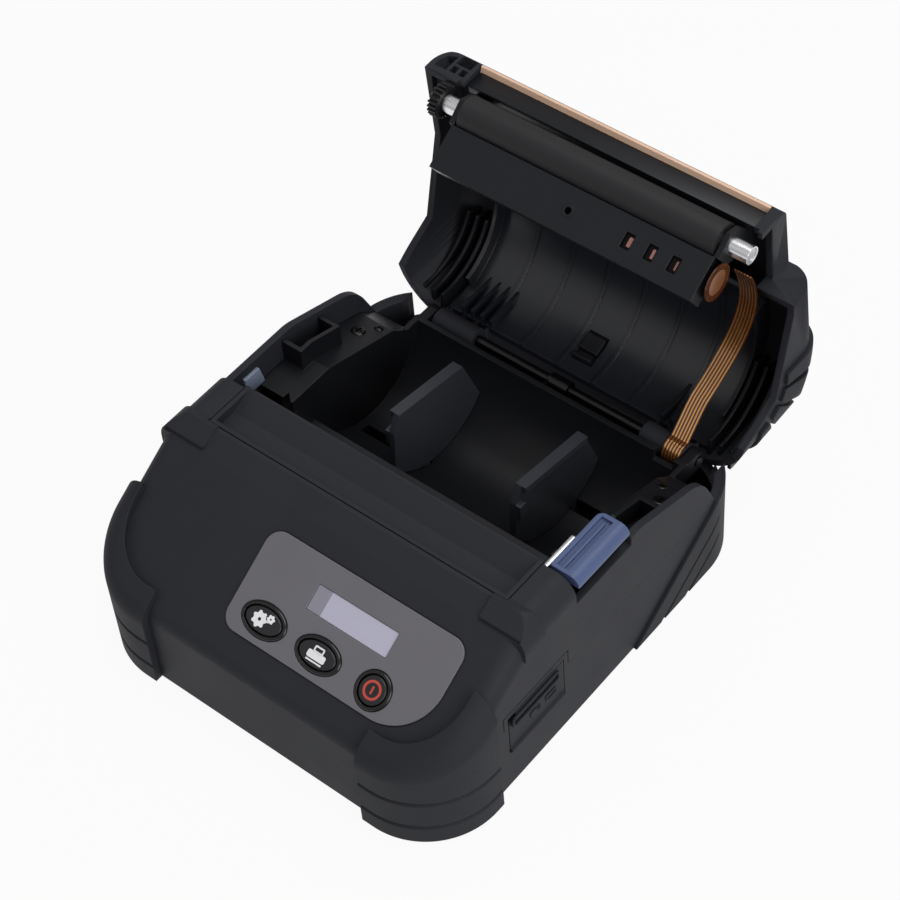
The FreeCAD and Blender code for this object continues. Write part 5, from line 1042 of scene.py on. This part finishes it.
@dataclass
class ControlPanel(SubAssembly):
    """The keys' printed symbols on the sloped front."""

    slope_deg: float = 32.6
    slope_top: Point = (0.0, -30.0 * MM, 49.5 * MM)
    key_row: float = -27.0 * MM
    key_x: Tuple[float, float, float] = (-4.9 * MM, 12.4 * MM, 29.7 * MM)
    key_face: float = 0.9 * MM
    ink: float = 0.06 * MM
    large_cog: Cog = Cog(1.75 * MM, 7, -1.1 * MM, -0.15 * MM)
    small_cog: Cog = Cog(0.95 * MM, 6, 1.75 * MM, 1.15 * MM)
    feed_box: Flat = Flat(5.4, 1.9, 0.5, y=-0.45)
    feed_sheet: Flat = Flat(3.0, 1.7, 0.4, y=1.2, wall=0.42)
    feed_line: Flat = Flat(4.8, 0.4, 0.15, y=-1.95)
    power_ring: Station = (2.5 * MM, 1.85 * MM)
    power_bar: Flat = Flat(0.55, 2.1, 0.15)

    def cog(self, name: str, cog: Cog) -> Piece:
        """A small cog symbol.

        Args:
            name: The piece's name.
            cog: Its sizes and place.

        Returns:
            The flat symbol.
        """
        count = cog.teeth * cog.steps
        piece = Bench.ring(name, cog.radius, cog.radius * cog.bore, count)

        def is_tooth(corner: Vector) -> bool:
            """Whether a corner is an outer one of a tooth."""
            index = round(math.atan2(corner.y, corner.x) / math.tau * count) % count
            return corner.length > cog.radius * cog.root and index % cog.steps in (0, 1)

        with Bench.editing(piece, is_tooth):
            bpy.ops.transform.resize(value=(cog.reach, cog.reach, 1.0))
        Bench.move(piece, Matrix.Translation((cog.x, cog.y, 0.0)))
        return piece

    def symbol(self, name: str, marks: Sequence[Piece], key: int, finish: Finish,
               body: Body) -> None:
        """Prints a symbol on the face of a key.

        Args:
            name: The symbol's name.
            marks: Its flat marks, drawn about the origin.
            key: Which key, from the left.
            finish: The ink.
            body: The key's body.
        """
        piece = Bench.sign(name, marks, self.ink)
        lift = Matrix.Translation((self.key_x[key], self.key_row, self.key_face))
        turn = Matrix.Rotation(math.radians(self.slope_deg), 4, "X")
        Bench.move(piece, Matrix.Translation(self.slope_top) @ turn @ lift)
        self.hand_over(piece, finish, body, Slot.KEY)

    def build(self) -> None:
        """Makes two cogs, a box with a sheet and a line, and a ring round a bar."""
        cogs = [self.cog("settings_symbol", self.large_cog),
                self.cog("settings_symbol_small", self.small_cog)]
        self.symbol("settings_symbol", cogs, 0, WHITE_INK, Body.SETTINGS)
        feed = [Bench.flat("feed_symbol", self.feed_box),
                Bench.flat("feed_symbol_sheet", self.feed_sheet),
                Bench.flat("feed_symbol_line", self.feed_line)]
        self.symbol("feed_symbol", feed, 1, WHITE_INK, Body.FEED)
        power = [Bench.ring("power_symbol", *self.power_ring),
                 Bench.flat("power_symbol_bar", self.power_bar)]
        self.symbol("power_symbol", power, 2, RED_INK, Body.POWER)


@dataclass
class Lid(SubAssembly):
    """The lid's dressing, drawn closed and turned open about the hinge."""

    hinge: Point = (0.0, 59.0 * MM, 22.0 * MM)
    open_deg: float = 86.0
    cells: Tuple[Tuple[float, float, float, float], ...] = (
        (-56.0 * MM, -52.2 * MM, 49.4 * MM, 54.8 * MM),
        (-51.3 * MM, -46.5 * MM, 52.7 * MM, 56.3 * MM),
        (-51.3 * MM, -49.3 * MM, 49.6 * MM, 51.9 * MM),
        (-48.5 * MM, -46.5 * MM, 49.6 * MM, 51.9 * MM))
    cell_span: Station = (-9.8 * MM, -5.2 * MM)
    cell_corner: float = 3.5 * MM
    shell_smooth_deg: float = 30.0
    barrel: float = 3.5 * MM
    flex_gap: float = 0.15 * MM
    flex_width: float = 5.4 * MM
    flex_thickness: float = 0.4 * MM
    flex_shown: float = 0.9
    flex_x: Station = (45.4 * MM, 38.6 * MM)
    flex_start: Station = (4.3 * MM, 42.9 * MM)
    flex_bend: Station = (31.0 * MM, 53.0 * MM)
    flex_slack: Station = (2.6 * MM, 1.4 * MM)
    flex_settled: float = 0.85
    flex_ease: float = 1.3
    flex_smooth_deg: float = 50.0
    wrap_deg: Station = (165.0, 280.0)
    bow_steps: int = 24
    turn_steps: int = 12
    loop_radii: Station = (0.98, 0.82)
    loop_steps: Tuple[Station, ...] = (
        (0.97, -0.12 * MM), (0.72, 0.0), (0.9, 0.12 * MM), (0.3, 0.0))
    loop_wall: float = 0.3 * MM
    small_sides: int = 40
    roll: Station = (36.0 * MM, 31.0 * MM)
    rib_sides: int = 240
    rib_edge: float = 0.25 * MM
    hoop_radii: Station = (27.3 * MM, 20.5 * MM)
    hoop_span: Station = (-10.0, 62.0)
    hoop_x: Tuple[float, ...] = (44.2 * MM, 47.4 * MM, 50.6 * MM)
    hoop_wall: float = 1.1 * MM
    clip_x: float = -4.2 * MM
    clip_width: float = 5.8 * MM
    tongue_radii: Station = (26.4 * MM, 24.0 * MM)
    tongue_span: Station = (11.0, 25.0)
    ledge_radii: Station = (26.4 * MM, 23.2 * MM)
    ledge_span: Station = (4.4, 8.0)
    lip_half: float = 44.8 * MM
    lip_front: float = -6.3 * MM
    lip_wall: float = 1.0 * MM
    lip_low: float = 49.3 * MM
    lip_high: float = 54.9 * MM
    lip_fold: float = 1.5 * MM
    lip_fold_height: float = 0.8 * MM
    lip_edge: float = 0.15 * MM
    panel_top: Station = (-4.1 * MM, 37.5 * MM)
    panel_bottom: Station = (2.0 * MM, 26.9 * MM)
    peep_radii: Station = (1.8 * MM, 0.95 * MM)
    peep_wall: float = 0.25 * MM
    peep_edge: float = 0.08 * MM
    foil_x: Tuple[float, float, float] = (18.9 * MM, 25.9 * MM, 32.9 * MM)
    foils: Tuple[Flat, ...] = (Flat(1.1, 2.6, 0.3), Flat(0.8, 2.6, 0.3), Flat(0.5, 2.6, 0.3))
    foil_wall: float = 0.1 * MM
    foil_depth: float = 0.7 * MM

    def opened(self, piece: Piece) -> None:
        """Turns a piece drawn on the closed lid to the open lid.

        Args:
            piece: The piece.
        """
        there = Matrix.Translation(self.hinge)
        turn = Matrix.Rotation(math.radians(-self.open_deg), 4, "X")
        Bench.move(piece, there @ turn @ there.inverted())

    def shell(self, node: Piece) -> None:
        """The lid's shell with open cells in its left front corner, for the plain shell.

        Args:
            node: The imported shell.
        """
        piece = Bench.copy(node, "lid_shell_cells")
        with Bench.editing(piece):
            bpy.ops.mesh.remove_doubles(threshold=WELD)
        front, back = self.cell_span
        for rank, (left, right, low, high) in enumerate(self.cells):
            cutter = Bench.block("cell_cutter", (left, front, low), (right, back, high))
            if rank == 0:
                with Bench.editing(cutter, lambda at: at.x < left + NEAR and at.z > high - NEAR):
                    bpy.ops.mesh.bevel(offset=self.cell_corner, segments=Bench.EDGE_STEPS,
                                       affect="EDGES")
            self.opened(cutter)
            Bench.carve(piece, cutter)
        Bench.smooth(piece, self.shell_smooth_deg)
        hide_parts("lid_shell")
        self.hand_over(piece, CASE, Body.LID, Slot.CASE)

    def on_barrel(self, degrees: float) -> Station:
        """A place on the flex ribbon's turn round the hinge barrel.

        Args:
            degrees: How far round.

        Returns:
            Its Y and Z in metres.
        """
        turn = self.barrel + self.flex_gap + self.flex_thickness / 2
        angle = math.radians(degrees)
        return self.hinge[1] + turn * math.cos(angle), self.hinge[2] + turn * math.sin(angle)

    def flex_path(self) -> List[Point]:
        """The flex ribbon's middle line on the closed lid: a smooth bow, then a turn.

        Returns:
            The points, in metres.
        """
        first, last = self.wrap_deg
        top, foot = self.flex_x
        corners = list(zip(self.flex_start, self.flex_bend, self.on_barrel(first), self.flex_slack))
        path: List[Point] = []
        for index in range(self.bow_steps):
            t = index / self.bow_steps
            # The slack is fullest, at one, a third of the way down.
            slack = 27 / 4 * t * (1 - t) ** 2
            x = top + (foot - top) * min(1.0, t / self.flex_settled) ** self.flex_ease
            y, z = ((1 - t) ** 2 * a + 2 * t * (1 - t) * b + t * t * c + slack * d
                    for a, b, c, d in corners)
            path.append((x, y, z))
        for index in range(self.turn_steps + 1):
            degrees = first + (last - first) * index / self.turn_steps
            path.append((foot, *self.on_barrel(degrees)))
        return path

    def flex(self) -> None:
        """The flex ribbon with its tracks, which stands for the plain ribbon."""
        piece = Bench.strip("flex_film", self.flex_width, self.flex_path())
        Bench.thicken(piece, self.flex_thickness * self.flex_shown, 0.0)
        self.opened(piece)
        Bench.smooth(piece, self.flex_smooth_deg)
        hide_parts("flex_ribbon")
        self.hand_over(piece, FLEX, Body.LID, Slot.FLEX)

    def loop_face(self) -> None:
        """The wound face inside the flex loop: rings that step in towards its middle."""
        low, high = (Vector(corner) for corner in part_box("flex_loop"))
        radius = (high.z - low.z) / 2
        outer, inner = (radius * share for share in self.loop_radii)
        piece = Bench.ring("flex_loop_face", outer, inner, self.small_sides)
        with Bench.editing(piece):
            for share, lift in self.loop_steps:
                bpy.ops.mesh.extrude_region_move(
                    TRANSFORM_OT_translate={"value": (0.0, 0.0, lift)})
                bpy.ops.transform.resize(value=(share, share, 1.0))
            bpy.ops.mesh.edge_face_add()
        Bench.thicken(piece, self.loop_wall, 0.0)
        Bench.outward(piece)
        turn = Matrix.Rotation(math.radians(90.0), 4, "Y")
        Bench.move(piece, Matrix.Translation((low + high) / 2) @ turn)
        Bench.smooth(piece)
        self.hand_over(piece, AMBER, Body.LID, Slot.FLEX)

    def rib(self, name: str, x: float, width: float, radii: Station, span: Station) -> Piece:
        """A curved rib about the paper roll's axis, on the closed lid.

        Args:
            name: The piece's name.
            x: Its left face along X in metres.
            width: Its width along X in metres.
            radii: Its outer and inner radius in metres.
            span: Its first and last angle in degrees.

        Returns:
            The piece.
        """
        piece = Bench.ring(name, *radii, self.rib_sides)

        def is_outside(corner: Vector) -> bool:
            """Whether a corner lies past the rib's ends."""
            degrees = math.degrees(math.atan2(corner.y, corner.x))
            return not span[0] <= degrees <= span[1]

        Bench.drop(piece, is_outside)
        Bench.thicken(piece, width)
        Bench.soften(piece, self.rib_edge)
        Bench.move(piece, Matrix.Translation((x, *self.roll)) @ SIDEWAYS)
        return piece

    def set_ribs(self, name: str, ribs: Sequence[Piece]) -> None:
        """Joins curved ribs, opens them with the lid and hands them over.

        Args:
            name: The joined piece's name.
            ribs: The ribs.
        """
        piece = Bench.join(name, ribs)
        Bench.outward(piece)
        self.opened(piece)
        Bench.smooth(piece)
        self.hand_over(piece, INNER, Body.LID, Slot.CASE)

    def hoops(self) -> None:
        """The curved ribs inside both ends of the lid, copies of one rib."""
        pattern = self.rib("lid_hoop", 0.0, self.hoop_wall, self.hoop_radii, self.hoop_span)
        starts = {"right": self.hoop_x, "left": [-x - self.hoop_wall for x in self.hoop_x]}
        for word, places in starts.items():
            ribs = [Bench.copy(pattern, f"lid_hoop_{word}") for _ in places]
            for rib, x in zip(ribs, places):
                Bench.move(rib, Matrix.Translation((x, 0.0, 0.0)))
            self.set_ribs(f"lid_hoops_{word}", ribs)
        bpy.data.objects.remove(pattern, do_unlink=True)

    def clip(self) -> None:
        """The spring clip that stands out of the liner's pocket, with its ledge."""
        place = (self.clip_x, self.clip_width)
        tongue = self.rib("liner_clip", *place, self.tongue_radii, self.tongue_span)
        ledge = self.rib("liner_clip_ledge", *place, self.ledge_radii, self.ledge_span)
        self.set_ribs("liner_clip", [tongue, ledge])

    def lip_face(self) -> None:
        """The flat wall between tear strip and platen, folded back along its lower edge."""
        rear = self.lip_front + self.lip_wall
        fold = self.lip_low + self.lip_fold_height
        piece = Bench.block("lip_face", (-self.lip_half, self.lip_front, self.lip_low),
                            (self.lip_half, rear, self.lip_high))
        with Bench.editing(piece):
            bpy.ops.mesh.bisect(plane_co=(0.0, 0.0, fold), plane_no=(0.0, 0.0, 1.0))
        with Bench.editing(piece, lambda at: at.y > rear - NEAR and at.z < fold + NEAR):
            bpy.ops.mesh.extrude_region_move(
                TRANSFORM_OT_translate={"value": (0.0, self.lip_fold, 0.0)})
        Bench.outward(piece)
        Bench.soften(piece, self.lip_edge)
        self.opened(piece)
        Bench.smooth(piece)
        self.hand_over(piece, PANEL, Body.LID, Slot.CASE)

    def onto_panel(self, piece: Piece, x: float, depth: float) -> None:
        """Sets a flat piece half way down the sensor panel and opens it with the lid.

        Args:
            piece: The piece, drawn flat about the origin.
            x: Place along X in metres.
            depth: How far behind the panel's face, in metres.
        """
        top, bottom = Vector((x, *self.panel_top)), Vector((x, *self.panel_bottom))
        down = bottom - top
        facing = Vector((0.0, down.z, -down.y)).normalized()
        turn = facing.to_track_quat("Z", "Y").to_matrix().to_4x4()
        Bench.move(piece, Matrix.Translation((bottom + top) / 2 - facing * depth) @ turn)
        self.opened(piece)
        Bench.smooth(piece)

    def peep(self) -> None:
        """The round rim of the peep hole in the middle of the sensor panel."""
        piece = Bench.ring("peep_rim", *self.peep_radii, self.small_sides)
        Bench.thicken(piece, self.peep_wall, 0.0)
        Bench.soften(piece, self.peep_edge)
        Bench.outward(piece)
        self.onto_panel(piece, 0.0, 0.0)
        self.hand_over(piece, PANEL, Body.LID, Slot.CASE)

    def sensor_foils(self) -> None:
        """The printed foil that shows in part of each sensor window."""
        for rank, (x, foil) in enumerate(zip(self.foil_x, self.foils)):
            piece = Bench.flat(f"sensor_foil_{rank}", foil)
            Bench.thicken(piece, self.foil_wall)
            Bench.outward(piece)
            self.onto_panel(piece, x, self.foil_depth)
            self.hand_over(piece, SENSOR_FOIL, Body.LID, Slot.CASE)

    def build(self, nodes: Dict[str, Piece]) -> None:
        """Makes every piece of the lid's dressing.

        Args:
            nodes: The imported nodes.
        """
        self.shell(nodes["lid_shell"])
        self.flex()
        self.loop_face()
        self.hoops()
        self.clip()
        self.lip_face()
        self.peep()
        self.sensor_foils()


@dataclass
class Deck(SubAssembly):
    """Screw heads and the tab on the decks beside the paper bin."""

    fall_start: Station = (17.0 * MM, 38.5 * MM)
    fall: float = 8.0 / 25.5
    head_radius: float = 2.1 * MM
    head_height: float = 0.9 * MM
    head_sides: int = 32
    head_dome: float = 0.6
    cross_width: float = 0.55 * MM
    cross_reach: float = 0.62
    screws_at: Tuple[Point, ...] = ((49.7 * MM, 35.6 * MM, 1.0), (46.8 * MM, 40.6 * MM, 0.62))
    tab_low: Point = (-55.7 * MM, -2.6 * MM, 38.2 * MM)
    tab_high: Point = (-54.5 * MM, 4.4 * MM, 44.2 * MM)
    tab_slope: float = 1.4 * MM
    tab_edge: float = 0.25 * MM

    def screw_head(self, name: str, radius: float) -> Piece:
        """A domed screw head with a cross recess, about the origin.

        Args:
            name: The piece's name.
            radius: Its radius in metres.

        Returns:
            The piece.
        """
        Bench.clear()
        bpy.ops.mesh.primitive_cylinder_add(vertices=self.head_sides, radius=radius,
                                            depth=self.head_height)
        head = Bench.named(name)
        with Bench.editing(head, lambda at: at.z > 0.0):
            bpy.ops.mesh.bevel(offset=self.head_height * self.head_dome,
                               segments=Bench.CORNER_STEPS, affect="EDGES")
        reach, half = radius * self.cross_reach, self.cross_width / 2
        for x, y in ((reach, half), (half, reach)):
            Bench.carve(head, Bench.block("cross_cutter", (-x, -y, 0.0), (x, y, self.head_height)))
        return head

    def screws(self) -> None:
        """The screw heads on the falling rear parts of both decks."""
        heads = [self.screw_head(f"deck_screw_left_{rank}", self.head_radius * share)
                 for rank, (_, _, share) in enumerate(self.screws_at)]
        twins = [Bench.copy(head, f"deck_screw_right_{rank}") for rank, head in enumerate(heads)]
        tilt = Matrix.Rotation(-math.atan(self.fall), 4, "X")
        for side, row in ((-1.0, heads), (1.0, twins)):
            for piece, (x, y, _) in zip(row, self.screws_at):
                z = self.fall_start[1] - (y - self.fall_start[0]) * self.fall
                Bench.move(piece, Matrix.Translation((side * x, y, z)) @ tilt)
                Bench.smooth(piece)
                self.hand_over(piece, BLACK_STEEL, Body.BASE, Slot.STEEL)

    def tab(self) -> None:
        """The upright tab at the left end of the latch, with a sloped rear edge."""
        piece = Bench.block("latch_tab", self.tab_low, self.tab_high)
        with Bench.editing(piece, lambda at: at.y > 0.0 and at.z > self.tab_high[2] - NEAR):
            bpy.ops.transform.translate(value=(0.0, -self.tab_slope, 0.0))
        Bench.soften(piece, self.tab_edge)
        Bench.smooth(piece)
        self.hand_over(piece, TAB, Body.BASE, Slot.LEVER)

    def build(self) -> None:
        """Makes every piece of the decks' dressing."""
        self.screws()
        self.tab()


@dataclass
class Latch(SubAssembly):
    """The steel blade behind the right hook."""

    low: Point = (45.2 * MM, -6.6 * MM, 46.0 * MM)
    high: Point = (46.4 * MM, 5.2 * MM, 46.9 * MM)
    turn_down: Point = (0.0, 0.7 * MM, -0.5 * MM)
    edge: float = 0.18 * MM

    def build(self) -> None:
        """Makes the blade, which runs back from the hook's arm and turns down at its end."""
        piece = Bench.block("latch_blade_right", self.low, self.high)
        with Bench.editing(piece, lambda at: at.y > self.high[1] - NEAR):
            bpy.ops.mesh.extrude_region_move(TRANSFORM_OT_translate={"value": self.turn_down})
        Bench.soften(piece, self.edge)
        Bench.outward(piece)
        Bench.smooth(piece)
        self.hand_over(piece, STEEL, Body.LATCH, Slot.STEEL)


@dataclass
class PortFlap(SubAssembly):
    """The finger lip and the raised marks on the port cover."""

    lip_place: Point = (57.5 * MM, -26.6 * MM, 25.3 * MM)
    lip_loop: Flat = Flat(18.6, 3.6, 1.2, wall=0.7)
    lip_proud: float = 0.7 * MM
    lip_edge: float = 0.2 * MM
    mark_place: Point = (57.5 * MM, -24.0 * MM, 20.2 * MM)
    mark_proud: float = 0.25 * MM
    socket: Flat = Flat(4.2, 2.2, 0.5, x=3.4, wall=0.4)
    plug: Flat = Flat(2.6, 2.2, 0.6, x=-3.4)
    pin: Flat = Flat(1.4, 0.4, 0.1, x=-1.5, y=-0.55)
    pin_pitch: float = 1.1 * MM

    def lip(self) -> None:
        """The raised loop that a fingernail lifts the cover by."""
        piece = Bench.flat("port_lip", self.lip_loop)
        Bench.thicken(piece, self.lip_proud)
        Bench.soften(piece, self.lip_edge)
        Bench.outward(piece)
        Bench.move(piece, Matrix.Translation(self.lip_place) @ SIDEWAYS)
        Bench.smooth(piece)
        self.hand_over(piece, RUBBER, Body.PORT, Slot.RUBBER)

    def marks(self) -> None:
        """A raised plug sign and a raised socket sign."""
        marks = [Bench.flat("port_mark_socket", self.socket),
                 Bench.flat("port_mark_plug", self.plug), Bench.flat("port_mark_pin", self.pin)]
        marks.append(Bench.copy(marks[-1], "port_mark_pin_upper"))
        Bench.move(marks[-1], Matrix.Translation((0.0, self.pin_pitch, 0.0)))
        piece = Bench.sign("port_marks", marks, self.mark_proud)
        Bench.move(piece, Matrix.Translation(self.mark_place) @ SIDEWAYS)
        self.hand_over(piece, RUBBER, Body.PORT, Slot.RUBBER)

    def build(self) -> None:
        """Makes the lip and the marks."""
        self.lip()
        self.marks()


@dataclass(frozen=True)
class Lamp:
    """A soft square lamp: its place and edge in metres and its power in watts."""

    name: str
    place: Point
    size: float
    power: float


@dataclass
class Studio:
    """The floor, the lamps, the world and the camera."""

    azimuth_deg: float = 42.82
    elevation_deg: float = 49.84
    roll_deg: float = -5.30
    distance: float = 651.25 * MM
    target: Point = (0.56 * MM, 13.05 * MM, 40.0 * MM)
    lens_mm: float = 102.91
    sensor_mm: float = 36.0
    floor_size: float = 6.0
    floor_colour: Colour = (0.6, 0.6, 0.6)
    floor_roughness: float = 0.9
    floor_specular: float = 0.1
    floor_white: float = 0.93
    world_strength: float = 0.39
    lamp_aim: Point = (0.0, 0.02, 0.04)
    lamps: Tuple[Lamp, ...] = (Lamp("left_lamp", (-0.6, -0.7, 0.9), 0.8, 0.4),
                               Lamp("right_lamp", (1.0, -0.3, 0.6), 0.9, 8.0),
                               Lamp("top_lamp", (0.1, 0.35, 1.25), 0.9, 8.0))

    def camera(self) -> None:
        """Sets up the camera at the photograph's angle."""
        azimuth = math.radians(self.azimuth_deg)
        elevation = math.radians(self.elevation_deg)
        roll = math.radians(self.roll_deg)
        back = Vector((math.sin(azimuth) * math.cos(elevation),
                       -math.cos(azimuth) * math.cos(elevation), math.sin(elevation)))
        right = Vector((math.cos(azimuth), math.sin(azimuth), 0.0))
        up = back.cross(right)
        side = right * math.cos(roll) + up * math.sin(roll)
        top = up * math.cos(roll) - right * math.sin(roll)
        data = bpy.data.cameras.new("camera")
        data.lens = self.lens_mm
        data.sensor_width = self.sensor_mm
        data.sensor_fit = "HORIZONTAL"
        camera = bpy.data.objects.new("camera", data)
        bpy.context.scene.collection.objects.link(camera)
        matrix = Matrix((side, top, back)).transposed().to_4x4()
        matrix.translation = Vector(self.target) + back * self.distance
        camera.matrix_world = matrix
        bpy.context.scene.camera = camera

    def floor(self) -> None:
        """A pale floor that shows white to the camera and keeps the soft shadow."""
        Bench.clear()
        bpy.ops.mesh.primitive_plane_add(size=self.floor_size)
        floor = Bench.named("floor")
        graph = Graph("floor_white")
        graph.set(Base_Color=self.floor_colour, Roughness=self.floor_roughness,
                  Specular_IOR_Level=self.floor_specular)
        seen, glossy, through = (
            graph.node("ShaderNodeLightPath", {}, {}, f"Is {word} Ray")
            for word in ("Camera", "Glossy", "Transmission"))
        factor = (seen + glossy + through).clamp() * self.floor_white
        plain = Sock(graph, graph.shader.outputs["BSDF"])
        glow = graph.node("ShaderNodeEmission", {}, {"Color": WHITE, "Strength": 1.0})
        graph.show(graph.node("ShaderNodeMixShader", {}, {0: factor, 1: plain, 2: glow}))
        floor.data.materials.append(graph.material)

    def hang(self, lamp: Lamp) -> None:
        """Hangs a lamp and aims it at the printer.

        Args:
            lamp: The lamp.
        """
        data = bpy.data.lights.new(lamp.name, "AREA")
        data.energy = lamp.power
        data.size = lamp.size
        hung = bpy.data.objects.new(lamp.name, data)
        hung.location = lamp.place
        aim = Vector(self.lamp_aim) - Vector(lamp.place)
        hung.rotation_euler = aim.to_track_quat("-Z", "Y").to_euler()
        bpy.context.scene.collection.objects.link(hung)

    def world(self) -> None:
        """An even white surround."""
        world = bpy.data.worlds.new("surround")
        world.use_nodes = True
        shade = world.node_tree.nodes["Background"]
        shade.inputs["Color"].default_value = (*WHITE, 1.0)
        shade.inputs["Strength"].default_value = self.world_strength
        bpy.context.scene.world = world

    def build(self) -> None:
        """Makes the whole studio."""
        bpy.context.scene.view_settings.view_transform = "Standard"
        self.camera()
        self.floor()
        self.world()
        for lamp in self.lamps:
            self.hang(lamp)


def dress_nodes(nodes: Dict[str, Piece], rack: FinishRack) -> None:
    """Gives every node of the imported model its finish.

    Args:
        nodes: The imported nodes.
        rack: The finishes.
    """
    for finish, names in NODE_FINISHES.items():
        for name in names:
            rack.dress(nodes[name], finish)


def main() -> None:
    """Builds the dressed printer in its studio."""
    logging.basicConfig(level=logging.INFO, format="%(name)s: %(message)s")
    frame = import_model()
    Bench.clear()
    rack = FinishRack()
    dress_nodes(frame["nodes"], rack)
    ControlPanel(rack).build()
    Lid(rack).build(frame["nodes"])
    Deck(rack).build()
    Latch(rack).build()
    PortFlap(rack).build()
    Studio().build()
    Bench.clear()


if __name__ == "__main__":
    main()
